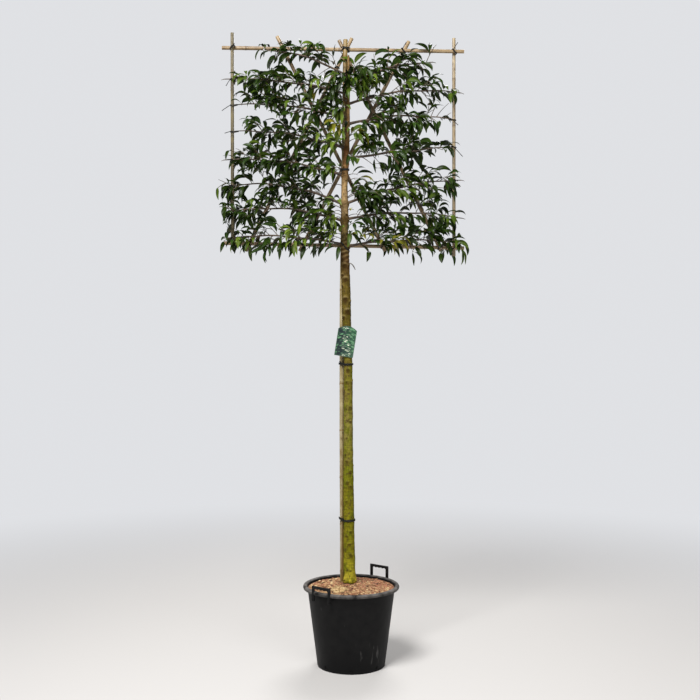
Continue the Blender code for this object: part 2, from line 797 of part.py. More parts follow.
def gather_limbs(canes, tiers):
    limbs = Limbs()
    limbs.add(*trunk_line())
    heights = [2.0 + 0.1 * k for k in range(12)]
    upright = [Vector((upright_x(h), UPRIGHT_Y, h)) for h in heights]
    limbs.add(upright, [UPRIGHT_RADIUS * NODE_SWELL] * len(upright))
    for cane in canes:
        limbs.add([cane.start, cane.end], [cane.radius * NODE_SWELL] * 2)
        for other in canes:
            met = cane.crossing(other) if cane.name.startswith("rail") else None
            if met and other.name.startswith("side"):
                spot = cane.point(met[0])
                reach = Vector((0.0, 0.03, 0.0))
                limbs.add([spot - reach, spot + reach], [CORNER_TIE_REACH] * 2)
    for height in (rail.start.z for rail in canes if rail.name.startswith("rail")):
        spot = Vector((upright_x(height), 0.0, height - 0.012))
        limbs.add([spot, spot + Vector((0.0, 0.05, 0.0))], [MIDDLE_TIE_REACH] * 2)
    for tier in tiers:
        points = [tier.point(bough_share(tier) * k / 3) for k in range(4)]
        limbs.add(points, [BOUGH_FOOT_RADIUS + 0.002] * 4)
    return limbs


def along_lines(*lines):
    """Points every few millimetres along several lines."""
    points = []
    for line in lines:
        for a, b in zip(line, line[1:]):
            count = max(2, math.ceil((b - a).length / 0.007))
            points += [a.lerp(b, k / count) for k in range(count + 1)]
    return points


class Leaf:
    """A closed leaf of six faces, arched along its length, keeled along its midrib and facing the light."""

    def __init__(self, root, direction, length, roll):
        self.root = root
        self.direction = direction.normalized()
        self.length = length
        light = Vector((0.0, math.copysign(LEAF_FACING, direction.y), 1.0))
        side = self.direction.cross(light).normalized()
        self.side = Matrix.Rotation(roll, 3, self.direction) @ side
        self.normal = self.side.cross(self.direction)

    def widest(self, across, keel=0.0):
        """A point of the leaf's widest section: across runs from -1 to 1, and keel is 1 under the midrib."""
        size = self.length / LEAF_LENGTH
        middle = self.root + self.direction * self.length * LEAF_WIDEST
        lift = LEAF_ARCH * self.length - LEAF_KEEL * size * keel
        return middle + self.side * (LEAF_WIDTH * size / 2 * across) + self.normal * lift

    def tip(self):
        return self.root + self.direction * self.length

    def outline(self):
        """Lines from the root to the tip over the edges, the quarters and the midrib."""
        return [[self.root, self.widest(across), self.tip()] for across in (-1, -0.5, 0, 0.5, 1)]

    def mesh(self):
        mesh = bpy.data.meshes.new("leaf")
        shape = bmesh.new()
        bmesh.ops.create_uvsphere(shape, u_segments=3, v_segments=2, radius=1.0)
        for vertex in shape.verts:
            keel, across, along = vertex.co
            if along > 0.5:
                vertex.co = self.tip()
            elif along < -0.5:
                vertex.co = self.root
            elif keel > 0:
                vertex.co = self.widest(0.0, 1.0)
            else:
                vertex.co = self.widest(math.copysign(1.0, across))
        face_outward(shape)
        shape.to_mesh(mesh)
        shape.free()
        return mesh


def shoot_mesh(start, end):
    """A three-sided tapering shoot."""
    mesh = bpy.data.meshes.new("shoot")
    shape = bmesh.new()
    line = end - start
    turn = line.to_track_quat("Z", "Y").to_matrix().to_4x4()
    place = Matrix.Translation((start + end) / 2) @ turn
    bmesh.ops.create_cone(
        shape,
        cap_ends=True,
        segments=3,
        radius1=SHOOT_FOOT_RADIUS,
        radius2=SHOOT_TIP_RADIUS,
        depth=line.length,
        matrix=place,
    )
    shape.to_mesh(mesh)
    shape.free()
    return mesh


def three_sided_profile():
    """The triangle swept along each mass's stem."""
    curve = bpy.data.curves.new("stem_profile", "CURVE")
    curve.dimensions = "2D"
    spline = curve.splines.new("POLY")
    spline.points.add(2)
    spline.use_cyclic_u = True
    for k, point in enumerate(spline.points):
        angle = 2 * math.pi * k / 3
        point.co = (math.cos(angle), math.sin(angle), 0.0, 1.0)
    return link(bpy.data.objects.new("stem_profile", curve), BRANCH_BARK, CUTTERS)


def stem_of(tier, profile):
    """The leafy length of the branch, starting just clear of its bough's tip."""
    first = bough_share(tier) + (GAP + 0.0002) / tier.span
    steps = 8
    curve = bpy.data.curves.new(f"foliage_{tier.side}_{tier.number}", "CURVE")
    curve.dimensions = "3D"
    curve.bevel_mode = "OBJECT"
    curve.bevel_object = profile
    curve.use_fill_caps = True
    spline = curve.splines.new("POLY")
    spline.points.add(steps)
    for k, point in enumerate(spline.points):
        share = first + (tier.share - first) * k / steps
        point.co = (*tier.point(share), 1.0)
        point.radius = STEM_FOOT_RADIUS + (STEM_TIP_RADIUS - STEM_FOOT_RADIUS) * k / steps
    return as_mesh(link(bpy.data.objects.new(curve.name, curve), LEAF_GREEN)), first


def leaf_that_fits(root, ways, length, tier, limbs, own, chance):
    """The first of several directions in which a leaf stays in its space, off the limbs and off other leaves."""
    for way in ways:
        leaf = Leaf(root, way, length, chance.uniform(-0.35, 0.35))
        lines = leaf.outline()
        beyond = [[line[0].lerp(line[1], 0.2), line[1], line[2]] for line in lines]
        points = along_lines(*beyond)
        fits = tier.holds(points) and limbs.clear(points, LIMB_CLEARANCE)
        if fits and own.clear(points, LEAF_SPACING):
            own.add([beyond[2][0], beyond[2][1], beyond[2][2]], [0.0, LEAF_WIDTH * 0.3, 0.0])
            return leaf
    return None


def leaf_ways(axis, outward, chance):
    """Directions to try for a leaf: out from its twig and forward, drooping more or less."""
    droops = [chance.uniform(0.35, 0.9), *LEAF_DROOPS]
    ways = []
    for spread in LEAF_SPREADS:
        for droop in droops:
            ways.append(outward * spread + axis * 0.7 - Vector((0.0, 0.0, droop)))
    return ways


def round_the(axis, angle):
    """A unit vector square to the axis, turned round it from straight up."""
    up = Vector((0.0, 0.0, 1.0))
    square = (up - axis * up.dot(axis)).normalized()
    return Matrix.Rotation(angle, 3, axis) @ square


def grow_mass(tier, limbs, profile):
    """Shoots and leaves along the branch, fused to its stem in one solid."""
    chance = random.Random(100 * tier.number + (7 if tier.side == "left" else 0))
    stem, first = stem_of(tier, profile)
    grown = new_collection("growing")
    own = Limbs()

    def add(mesh):
        grown.objects.link(bpy.data.objects.new(mesh.name, mesh))

    def add_leaf(root, axis, outward, size):
        length = LEAF_LENGTH * chance.uniform(0.86, 1.08) * size
        leaf = leaf_that_fits(root, leaf_ways(axis, outward, chance), length, tier, limbs, own, chance)
        if leaf:
            add(leaf.mesh())

    for k in range(tier.shoots):
        share = first + (tier.share - first) * (k + 0.45) / tier.shoots
        root = tier.point(share)
        axis = (tier.point(share + 0.02) - tier.point(share - 0.02)).normalized()
        turn = math.radians(SHOOT_TURNS[k % len(SHOOT_TURNS)]) + chance.uniform(-0.4, 0.4)
        sideways = round_the(axis, turn)
        for scale in SHOOT_SCALES:
            length = SHOOT_LENGTH * scale * chance.uniform(0.9, 1.1)
            way = (axis * 0.75 + sideways * 0.75).normalized()
            end = root + way * length
            points = along_lines([root + way * 0.012, end])
            if tier.holds(points) and limbs.clear(points, SHOOT_FOOT_RADIUS + 0.001):
                break
        else:
            add_leaf(root, axis, sideways, 0.9)
            continue
        add(shoot_mesh(root - way * 0.001, end))
        own.add([root + way * 0.02, end], [0.0, 0.0])
        for j, along in enumerate(SHOOT_LEAVES):
            spot = root.lerp(end, along)
            outward = round_the(way, turn + math.radians(100 + 150 * j))
            add_leaf(spot, way, outward, 1.0)
        add_leaf(root.lerp(end, 0.97), way, way, 0.95)
    for k in range(tier.shoots // 2 + 1):
        share = first + (tier.share - first) * (k + 0.9) / (tier.shoots // 2 + 1)
        root = tier.point(min(share, tier.share - 0.004))
        axis = (tier.point(share) - tier.point(share - 0.03)).normalized()
        add_leaf(root, axis, round_the(axis, 2.4 * k + 0.8), 0.95)
    fuse(stem, grown)


def fuse(stem, grown):
    """Joins the shoots and leaves to the stem, then drops loose scraps and sealed hollows."""
    union = stem.modifiers.new("fuse", "BOOLEAN")
    union.operation = "UNION"
    union.operand_type = "COLLECTION"
    union.collection = grown
    union.solver = "MANIFOLD"
    graph = bpy.context.evaluated_depsgraph_get()
    mesh = bpy.data.meshes.new_from_object(stem.evaluated_get(graph))
    stem.modifiers.remove(union)
    stem.data = mesh
    for item in list(grown.objects):
        bpy.data.objects.remove(item)
    bpy.data.collections.remove(grown)
    keep_largest_shell(mesh)


def keep_largest_shell(mesh):
    shape = bmesh.new()
    shape.from_mesh(mesh)
    left = set(shape.faces)
    shells = []
    while left:
        edge_of = [left.pop()]
        shell = list(edge_of)
        while edge_of:
            face = edge_of.pop()
            for edge in face.edges:
                for other in edge.link_faces:
                    if other in left:
                        left.remove(other)
                        shell.append(other)
                        edge_of.append(other)
        shells.append(shell)
    shells.sort(key=len)
    loose = [vertex for shell in shells[:-1] for face in shell for vertex in face.verts]
    bmesh.ops.delete(shape, geom=list(set(loose)), context="VERTS")
    shape.to_mesh(mesh)
    shape.free()


def build_trunk():
    points, radii = trunk_line()
    tube("trunk", points, radii, 3, TRUNK_BARK)
    grown_points, grown_radii = trunk_line(GAP)
    return as_mesh(tube("trunk_cutter", grown_points, grown_radii, 3, TRUNK_BARK, CUTTERS))


def build():
    canes = frame_canes()
    pot = build_pot()
    build_handle("handle_back", HANDLE_ANGLE, BACK_HANDLE_TOP, pot)
    build_handle("handle_front", HANDLE_ANGLE + math.pi, FRONT_HANDLE_TOP, pot)
    upright_cutter = build_upright(canes)
    build_compost(upright_cutter)
    trunk_cutter = build_trunk()
    for cane in canes:
        cane.build(canes)
    build_trunk_ties()
    build_frame_ties(canes)
    build_label()
    tiers = make_tiers()
    limbs = gather_limbs(canes, tiers)
    profile = three_sided_profile()
    for tier in tiers:
        build_bough(tier, trunk_cutter)
        grow_mass(tier, limbs, profile)


build()
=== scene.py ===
import math
import random

import bmesh
import bpy
import numpy as np
from mathutils import Matrix, Vector, noise


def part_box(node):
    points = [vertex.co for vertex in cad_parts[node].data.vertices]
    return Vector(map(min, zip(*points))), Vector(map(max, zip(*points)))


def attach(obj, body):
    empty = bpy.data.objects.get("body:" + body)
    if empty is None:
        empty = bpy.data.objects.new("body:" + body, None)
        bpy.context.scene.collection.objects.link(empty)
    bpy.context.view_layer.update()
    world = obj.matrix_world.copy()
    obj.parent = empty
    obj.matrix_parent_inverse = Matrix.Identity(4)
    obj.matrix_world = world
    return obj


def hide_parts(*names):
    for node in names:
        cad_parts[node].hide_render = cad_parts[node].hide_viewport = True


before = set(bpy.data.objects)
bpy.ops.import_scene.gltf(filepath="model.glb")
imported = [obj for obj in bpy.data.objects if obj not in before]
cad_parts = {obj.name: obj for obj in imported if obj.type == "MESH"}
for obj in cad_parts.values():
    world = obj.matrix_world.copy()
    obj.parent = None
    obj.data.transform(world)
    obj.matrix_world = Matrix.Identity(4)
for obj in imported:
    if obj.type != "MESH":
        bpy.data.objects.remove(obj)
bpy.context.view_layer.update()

bpy.context.scene.view_settings.view_transform = "Standard"
bpy.ops.object.select_all(action="DESELECT")


# Camera at eye height, level, five metres in front of the plant.
# It frames the plant as the photograph does, a little to the right of the view's middle.
EYE_HEIGHT = 1.57
EYE_DISTANCE = 5.0
EYE_ACROSS = -0.006
VIEW_LENS = 51.43

bpy.ops.object.camera_add(location=(EYE_ACROSS, -EYE_DISTANCE, EYE_HEIGHT), rotation=(math.pi / 2, 0, 0))
camera = bpy.context.object
camera.data.lens = VIEW_LENS
bpy.context.scene.camera = camera


# Pale studio floor, a large plain sheet that melts into the pale surroundings far from the plant.
# It is no part of the plant.
FLOOR_HALF = 30.0
FLOOR_NEAR = 1.0
FLOOR_FAR = 5.5
FLOOR_PALE = (0.60, 0.58, 0.56)
SURROUND = (0.745, 0.755, 0.78)


def start_material(name):
    """A new material with its nodes, links and shader."""
    made = bpy.data.materials.new(name)
    made.use_nodes = True
    tree = made.node_tree
    return made, tree.nodes, tree.links, tree.nodes["Principled BSDF"]


def grey_ramp(nodes, links, factor, low, high, start=0.0, end=1.0, smooth=False):
    """A factor stretched so that low gives the start value and high gives the end value."""
    spread = nodes.new("ShaderNodeMapRange")
    spread.interpolation_type = "SMOOTHSTEP" if smooth else "LINEAR"
    spread.inputs["From Min"].default_value = low
    spread.inputs["From Max"].default_value = high
    spread.inputs["To Min"].default_value = start
    spread.inputs["To Max"].default_value = end
    links.new(factor, spread.inputs["Value"])
    return spread.outputs["Result"]


bpy.ops.mesh.primitive_plane_add(size=2 * FLOOR_HALF)
floor = bpy.context.object
floor.name = "floor"
floor_paint, nodes, links, shader = start_material("floor_paint")
shader.inputs["Base Color"].default_value = (*FLOOR_PALE, 1)
shader.inputs["Roughness"].default_value = 0.9
place = nodes.new("ShaderNodeTexCoord")
away = nodes.new("ShaderNodeVectorMath")
away.operation = "LENGTH"
links.new(place.outputs["Object"], away.inputs[0])
fade = grey_ramp(nodes, links, away.outputs["Value"], FLOOR_NEAR, FLOOR_FAR, smooth=True)
glow = nodes.new("ShaderNodeEmission")
glow.inputs["Color"].default_value = (*SURROUND, 1)
blend = nodes.new("ShaderNodeMixShader")
links.new(fade, blend.inputs["Fac"])
links.new(shader.outputs["BSDF"], blend.inputs[1])
links.new(glow.outputs["Emission"], blend.inputs[2])
links.new(blend.outputs["Shader"], nodes["Material Output"].inputs["Surface"])
floor.data.materials.append(floor_paint)


# Soft studio light: pale surroundings, a large lamp high on the left of the camera,
# a weaker one on its right, and one above and behind that rims the leaves.
AMBIENT = 0.23
LAMPS = (
    ("key_lamp", (-1.5, -3.2, 5.4), 2.0, 430.0),
    ("fill_lamp", (2.6, -4.4, 2.6), 2.6, 80.0),
    ("back_lamp", (0.8, 3.6, 4.6), 2.4, 165.0),
)
LAMP_AIM = Vector((0.0, 0.0, 1.9))

world = bpy.data.worlds.new("studio")
bpy.context.scene.world = world
world.use_nodes = True
sky_nodes, sky_links = world.node_tree.nodes, world.node_tree.links
seen = sky_nodes["Background"]
seen.inputs["Color"].default_value = (*SURROUND, 1)
lit = sky_nodes.new("ShaderNodeBackground")
lit.inputs["Color"].default_value = (*SURROUND, 1)
lit.inputs["Strength"].default_value = AMBIENT
path = sky_nodes.new("ShaderNodeLightPath")
either = sky_nodes.new("ShaderNodeMixShader")
sky_links.new(path.outputs["Is Camera Ray"], either.inputs["Fac"])
sky_links.new(lit.outputs["Background"], either.inputs[1])
sky_links.new(seen.outputs["Background"], either.inputs[2])
sky_links.new(either.outputs["Shader"], sky_nodes["World Output"].inputs["Surface"])
for lamp_name, lamp_place, lamp_size, lamp_power in LAMPS:
    aim = (LAMP_AIM - Vector(lamp_place)).to_track_quat("-Z", "Y").to_euler()
    bpy.ops.object.light_add(type="AREA", location=lamp_place, rotation=aim)
    lamp = bpy.context.object
    lamp.name = lamp_name
    lamp.data.size = lamp_size
    lamp.data.energy = lamp_power


# Nursery pot: moulded black plastic, a plain tapering wall under a wide rolled rim.
# Water drains through slots moulded low in the wall. The rim is slotted for the posts of two handles.
_, pot_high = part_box("pot")
RIM_RADIUS = pot_high.x
POT_HEIGHT = pot_high.z
POT_SIDES = 96
RIM_LIP = 0.018
BASE_RADIUS = 0.1690
SHOULDER_RADIUS = 0.2205
POT_WALL = 0.0035
DRAIN_SLOTS = 8
DRAIN_LOW = 0.010
DRAIN_HIGH = 0.028
DRAIN_DEPTH = 0.0025
SPLASH_HEIGHT = 0.12
PLASTIC_BLACK = (0.0034, 0.0034, 0.0037)
# Pale grey of dust, also a painted highlight on the rim's top and lip and on the handles' tops.
PLASTIC_DUST_AND_HIGHLIGHT = (0.138, 0.126, 0.116)
SCUFF_GREY = (0.068, 0.066, 0.065)
SCRAPED_SPOT = (0.12, -0.13, 0.10)
SCRAPED_REACH = 0.11


def linear(red, green, blue):
    """A colour as the eye's 0 to 255 values, turned to light values."""
    values = [c / 255 for c in (red, green, blue)]
    return tuple(c / 12.92 if c < 0.04045 else ((c + 0.055) / 1.055) ** 2.4 for c in values)


def fine_noise(nodes, links, vector, scale, detail=3.0, stretch=(1, 1, 1)):
    """A noise texture on a vector output, its pattern drawn out by the stretch."""
    mapping = nodes.new("ShaderNodeMapping")
    mapping.inputs["Scale"].default_value = stretch
    links.new(vector, mapping.inputs["Vector"])
    texture = nodes.new("ShaderNodeTexNoise")
    texture.inputs["Scale"].default_value = scale
    texture.inputs["Detail"].default_value = detail
    links.new(mapping.outputs["Vector"], texture.inputs["Vector"])
    return texture.outputs["Fac"]


def colour_ramp(nodes, links, factor, stops):
    """Colours laid along a factor, as (position, colour)."""
    ramp = nodes.new("ShaderNodeValToRGB")
    elements = ramp.color_ramp.elements
    while len(elements) < len(stops):
        elements.new(0.5)
    for element, (position, colour) in zip(elements, stops):
        element.position = position
        element.color = (*colour, 1)
    links.new(factor, ramp.inputs["Fac"])
    return ramp.outputs["Color"]


def feed(links, socket, value):
    """Gives a socket another node's output, a plain colour or a plain number."""
    if isinstance(value, bpy.types.NodeSocket):
        links.new(value, socket)
    elif isinstance(value, tuple):
        socket.default_value = (*value, 1)
    else:
        socket.default_value = value


def mix_colours(nodes, links, factor, first, second, blend="MIX"):
    """Blends two colours, each an output or a plain colour."""
    mixer = nodes.new("ShaderNodeMix")
    mixer.data_type = "RGBA"
    mixer.blend_type = blend
    feed(links, mixer.inputs["Factor"], factor)
    feed(links, mixer.inputs[6], first)
    feed(links, mixer.inputs[7], second)
    return mixer.outputs[2]


def calculate(nodes, links, operation, *terms):
    """The result of one sum on outputs and plain numbers."""
    step = nodes.new("ShaderNodeMath")
    step.operation = operation
    for socket, term in zip(step.inputs, terms):
        feed(links, socket, term)
    return step.outputs[0]


def attribute(nodes, name):
    """What a piece's own attribute says at each place, from 0 to 1."""
    mark = nodes.new("ShaderNodeAttribute")
    mark.attribute_name = name
    return mark.outputs["Fac"]


def add_bump(nodes, links, shader, height, distance, strength=1.0):
    """Roughens the shader's surface by a height output."""
    bump = nodes.new("ShaderNodeBump")
    bump.inputs["Distance"].default_value = distance
    bump.inputs["Strength"].default_value = strength
    links.new(height, bump.inputs["Height"])
    links.new(bump.outputs["Normal"], shader.inputs["Normal"])


def black_plastic(name):
    """Moulded plastic: a fine grain, cloudy gloss, sparse scuffs, and pale grey where its attribute of dust
    and painted highlight says.
    """
    made, nodes, links, shader = start_material(name)
    place = nodes.new("ShaderNodeTexCoord").outputs["Object"]
    away = nodes.new("ShaderNodeVectorMath")
    away.operation = "DISTANCE"
    away.inputs[1].default_value = SCRAPED_SPOT
    links.new(place, away.inputs[0])
    near = grey_ramp(nodes, links, away.outputs["Value"], SCRAPED_REACH, 0.0, end=0.13)
    scuffs = calculate(nodes, links, "ADD", fine_noise(nodes, links, place, 75.0, 4.0, (1, 1, 0.10)), near)
    scraped = grey_ramp(nodes, links, scuffs, 0.69, 0.80)
    worn = mix_colours(nodes, links, scraped, PLASTIC_BLACK, SCUFF_GREY)
    cloud = grey_ramp(nodes, links, fine_noise(nodes, links, place, 26.0, 6.0), 0.30, 0.62)
    dust_and_highlight_share = calculate(nodes, links, "MULTIPLY", attribute(nodes, "dust_and_highlight"), cloud)
    links.new(mix_colours(nodes, links, dust_and_highlight_share, worn, PLASTIC_DUST_AND_HIGHLIGHT), shader.inputs["Base Color"])
    sheen = fine_noise(nodes, links, place, 9.0, 5.0, (1, 1, 0.35))
    links.new(grey_ramp(nodes, links, sheen, 0.0, 1.0, 0.42, 0.68), shader.inputs["Roughness"])
    shader.inputs["Specular IOR Level"].default_value = 0.13
    add_bump(nodes, links, shader, fine_noise(nodes, links, place, 420.0, 2.0), 0.0004, 0.5)
    return made


def lay_dust_and_highlight(item, amount_at):
    """Writes the attribute of dust and painted highlight of a piece from the place of each point."""
    marks = item.data.attributes.new("dust_and_highlight", "FLOAT", "POINT")
    for index, vertex in enumerate(item.data.vertices):
        marks.data[index].value = amount_at(vertex.co)


def grow_round(rings, sides):
    """A closed round shape: a disc at the first (radius, height) ring, extruded through all the others."""
    radius, height = rings[0]
    foot = (0, 0, height)
    bpy.ops.mesh.primitive_circle_add(vertices=sides, radius=radius, fill_type="NGON", location=foot)
    item = bpy.context.object
    bpy.ops.object.transform_apply(location=True)
    bpy.ops.object.mode_set(mode="EDIT")
    bpy.ops.mesh.select_all(action="SELECT")
    for (radius, height), (next_radius, next_height) in zip(rings, rings[1:]):
        share = next_radius / radius
        bpy.ops.mesh.extrude_region_move(TRANSFORM_OT_translate={"value": (0, 0, next_height - height)})
        bpy.ops.transform.resize(value=(share, share, 1), center_override=(0, 0, next_height))
    bpy.ops.mesh.select_all(action="SELECT")
    bpy.ops.mesh.normals_make_consistent(inside=False)
    bpy.ops.object.mode_set(mode="OBJECT")
    return item


def select_faces(item, wanted):
    """In edit mode, selects only the faces whose centre and normal pass the test."""
    bpy.ops.mesh.select_mode(type="FACE")
    bpy.ops.mesh.select_all(action="DESELECT")
    shape = bmesh.from_edit_mesh(item.data)
    for face in shape.faces:
        face.select = wanted(face.calc_center_median(), face.normal)
    shape.select_flush(True)
    bmesh.update_edit_mesh(item.data)


def finish_piece(item, name, surfaces, replaced=(), smooth=None):
    item.name = name
    item.data.name = name
    for surface in surfaces:
        item.data.materials.append(surface)
    if smooth is not None:
        bpy.ops.object.select_all(action="DESELECT")
        item.select_set(True)
        bpy.context.view_layer.objects.active = item
        bpy.ops.object.shade_smooth_by_angle(angle=math.radians(smooth))
    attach(item, "root")
    if replaced:
        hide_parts(*replaced)
    item.select_set(False)


lip_foot = POT_HEIGHT - RIM_LIP
pot_rings = [
    (BASE_RADIUS - 0.006, 0.002),
    (BASE_RADIUS - 0.005, 0.0),
    (BASE_RADIUS - 0.0015, 0.0),
    (BASE_RADIUS, 0.002),
    (BASE_RADIUS + 0.0009, DRAIN_LOW),
    (BASE_RADIUS + 0.0032, DRAIN_HIGH),
    (BASE_RADIUS + 0.0164, 0.13),
    (BASE_RADIUS + 0.0332, 0.26),
    (SHOULDER_RADIUS - 0.0028, lip_foot - 0.004),
    (SHOULDER_RADIUS - 0.0010, POT_HEIGHT - 0.009),
    (RIM_RADIUS - 0.009, POT_HEIGHT - 0.006),
    (RIM_RADIUS - 0.0045, POT_HEIGHT - 0.010),
    (RIM_RADIUS - 0.0050, lip_foot + 0.002),
    (RIM_RADIUS - 0.0040, lip_foot),
    (RIM_RADIUS - 0.0022, lip_foot + 0.0006),
    (RIM_RADIUS - 0.0008, lip_foot + 0.003),
    (RIM_RADIUS, POT_HEIGHT - 0.010),
    (RIM_RADIUS - 0.0006, POT_HEIGHT - 0.0065),
    (RIM_RADIUS - 0.0030, POT_HEIGHT - 0.0030),
    (RIM_RADIUS - 0.0075, POT_HEIGHT - 0.0006),
    (RIM_RADIUS - 0.0125, POT_HEIGHT),
    (SHOULDER_RADIUS + 0.0045, POT_HEIGHT - 0.0004),
    (SHOULDER_RADIUS + 0.0010, POT_HEIGHT - 0.0028),
    (SHOULDER_RADIUS - 0.0025, POT_HEIGHT - 0.0075),
    (SHOULDER_RADIUS - 0.0050, POT_HEIGHT - 0.020),
    (BASE_RADIUS - POT_WALL, POT_WALL + 0.003),
]
slot_step = 2 * math.pi / DRAIN_SLOTS
face_step = 2 * math.pi / POT_SIDES


def in_drain_slot(centre, normal):
    """Two neighbouring wall faces for each drain slot, the first of them a little left of the front."""
    turn = (math.atan2(centre.y, centre.x) + math.radians(91)) % slot_step
    low_wall = DRAIN_LOW < centre.z < DRAIN_HIGH and centre.xy.length > BASE_RADIUS - 0.001
    return low_wall and min(turn, slot_step - turn) < face_step


pot = grow_round(pot_rings, POT_SIDES)
bpy.ops.object.mode_set(mode="EDIT")
select_faces(pot, in_drain_slot)
bpy.ops.mesh.inset(thickness=0.0012)
bpy.ops.mesh.extrude_region_shrink_fatten(TRANSFORM_OT_shrink_fatten={"value": -DRAIN_DEPTH})
bpy.ops.object.mode_set(mode="OBJECT")


def pot_dust_and_highlight(co):
    """Dust settles on the rim's top and lip, where a painted highlight is laid as well, and splashes reach a
    hand's width up from the ground.
    """
    from_axis = co.xy.length
    # The rim's top and lip: dust and a painted highlight.
    if co.z > POT_HEIGHT - 0.009 and from_axis > SHOULDER_RADIUS - 0.0015:
        return 1.0
    if co.z > lip_foot - 0.001 and from_axis > RIM_RADIUS - 0.003:
        return 0.55
    if co.z > lip_foot - 0.003 or from_axis < SHOULDER_RADIUS - 0.04:
        return 0.0
    return 0.022 + 0.09 * max(0.0, 1 - co.z / SPLASH_HEIGHT)


lay_dust_and_highlight(pot, pot_dust_and_highlight)
finish_piece(pot, "nursery_pot", [black_plastic("pot_plastic")], ["pot"], 32)


# Handles: two moulded plastic loops whose posts slide in the rim's slots, the back one pulled up.
# The underside of the bar has four shallow finger waves.
HANDLE_TURN = math.radians(51)
HANDLE_CIRCLE = 0.2365
HANDLE_SPREAD = 0.0500
POST_WIDTH = 0.0155
HANDLE_DEPTH = 0.009
BAR_HEIGHT = 0.0155
BAR_STEPS = 24
FINGER_WAVES = 4
WAVE_DEPTH = 0.0034
HANDLE_ROUNDING = 0.0026
# The handles' tops take a little dust and painted highlight.
HANDLE_DUST_AND_HIGHLIGHT = 0.06
handle_plastic = black_plastic("handle_plastic")


def add_handle(name, node, turn):
    """A bar whose ends are drawn down into two posts, then rounded and stood in the rim."""
    low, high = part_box(node)
    chord = math.sqrt(HANDLE_CIRCLE**2 - HANDLE_SPREAD**2)
    half = HANDLE_SPREAD + POST_WIDTH / 2
    inner = HANDLE_SPREAD - POST_WIDTH / 2
    bpy.ops.mesh.primitive_cube_add(size=1)
    handle = bpy.context.object
    handle.scale = (2 * half, HANDLE_DEPTH, BAR_HEIGHT)
    handle.location.z = -BAR_HEIGHT / 2
    bpy.ops.object.transform_apply(location=True, scale=True)
    bpy.ops.object.mode_set(mode="EDIT")
    for k in range(BAR_STEPS + 1):
        bpy.ops.mesh.select_all(action="SELECT")
        bpy.ops.mesh.bisect(plane_co=(inner - 2 * inner * k / BAR_STEPS, 0, 0), plane_no=(1, 0, 0))
    select_faces(handle, lambda centre, normal: normal.z < -0.9 and abs(centre.x) > inner)
    drop = (0, 0, low.z - high.z + BAR_HEIGHT)
    bpy.ops.mesh.extrude_region_move(TRANSFORM_OT_translate={"value": drop})
    bpy.ops.object.mode_set(mode="OBJECT")
    for vertex in handle.data.vertices:
        if abs(vertex.co.z + BAR_HEIGHT) < 0.0001 and abs(vertex.co.x) < inner - 0.0001:
            phase = math.pi * FINGER_WAVES * (vertex.co.x / inner + 1)
            vertex.co.z += WAVE_DEPTH / 2 * (1 - math.cos(phase))
    rounding = handle.modifiers.new("rounding", "BEVEL")
    rounding.width = HANDLE_ROUNDING
    rounding.segments = 3
    rounding.limit_method = "ANGLE"
    rounding.angle_limit = math.radians(50)
    bpy.ops.object.modifier_apply(modifier="rounding")
    handle.rotation_euler.z = turn + math.pi / 2
    handle.location = (chord * math.cos(turn), chord * math.sin(turn), high.z)
    bpy.ops.object.transform_apply(location=True, rotation=True)
    lay_dust_and_highlight(handle, lambda co: HANDLE_DUST_AND_HIGHLIGHT if co.z > POT_HEIGHT - 0.010 else 0.0)
    finish_piece(handle, name, [handle_plastic], [node], 40)


add_handle("lifting_handle_back", "handle_back", HANDLE_TURN)
add_handle("lifting_handle_front", "handle_front", HANDLE_TURN + math.pi)


# Compost: a peaty mix that fills the pot to just under its rim, mounded a little to the stem.
# Its top is uneven and strewn with bark chips, from fine crumbs to pieces as long as a thumb.
compost_low, compost_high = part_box("compost")
COMPOST_TOP = compost_high.z
COMPOST_EDGE = 0.386
COMPOST_RINGS = 34
COMPOST_LUMPS = 0.0036
CHIP_COUNT = 6400
CHIP_LONGEST = 0.021
CHIP_SHORTEST = 0.003
STEM_CLEAR = 0.031
STRAW_SIDE = Vector((-0.75, -0.66))
STEM_HEAP = (Vector((-0.008, 0.0)), 0.058, 0.0095)
STRAW_HEAP = (Vector((-0.055, -0.100)), 0.030, 0.0080)
HEAPED_SHARE = 0.30
CHIP_FACES = [(0, 3, 2, 1), (4, 5, 6, 7), (0, 1, 5, 4), (1, 2, 6, 5), (2, 3, 7, 6), (3, 0, 4, 7)]
# Bark chips by kind: name, share of all, how much they keep to the straw's side, and two tones.
CHIP_KINDS = (
    ("bark_chips_tan", 0.40, 0.10, linear(142, 102, 66), linear(190, 150, 108)),
    ("bark_chips_red", 0.30, -0.45, linear(128, 78, 54), linear(172, 118, 86)),
    ("bark_chips_dark", 0.11, -0.10, linear(60, 40, 28), linear(108, 74, 52)),
    ("bark_chips_pale", 0.19, 0.50, linear(176, 146, 100), linear(220, 194, 146)),
)
# A kind that keeps to the straw's side more than this also lies in the straw's heap.
STRAWY = 0.4


def heap_share(x, y, heap):
    """How near a place is to the top of a low heap, from 0 to 1."""
    middle, width, _ = heap
    return math.exp(-((Vector((x, y)) - middle).length_squared) / width**2)


def compost_height(x, y):
    """Height of the uneven top at a place."""
    share = min(1.0, math.hypot(x, y) / (SHOULDER_RADIUS - 0.004))
    crown = COMPOST_TOP + (COMPOST_EDGE - COMPOST_TOP) * share**1.5
    lumps = noise.fractal(Vector((x, y, 0.3)) * 34, 0.8, 2.0, 4)
    heaped = heap_share(x, y, STEM_HEAP) * STEM_HEAP[2] + heap_share(x, y, STRAW_HEAP) * STRAW_HEAP[2]
    return crown - 0.002 + heaped + COMPOST_LUMPS * lumps * min(1.0, 5 * (1 - share))


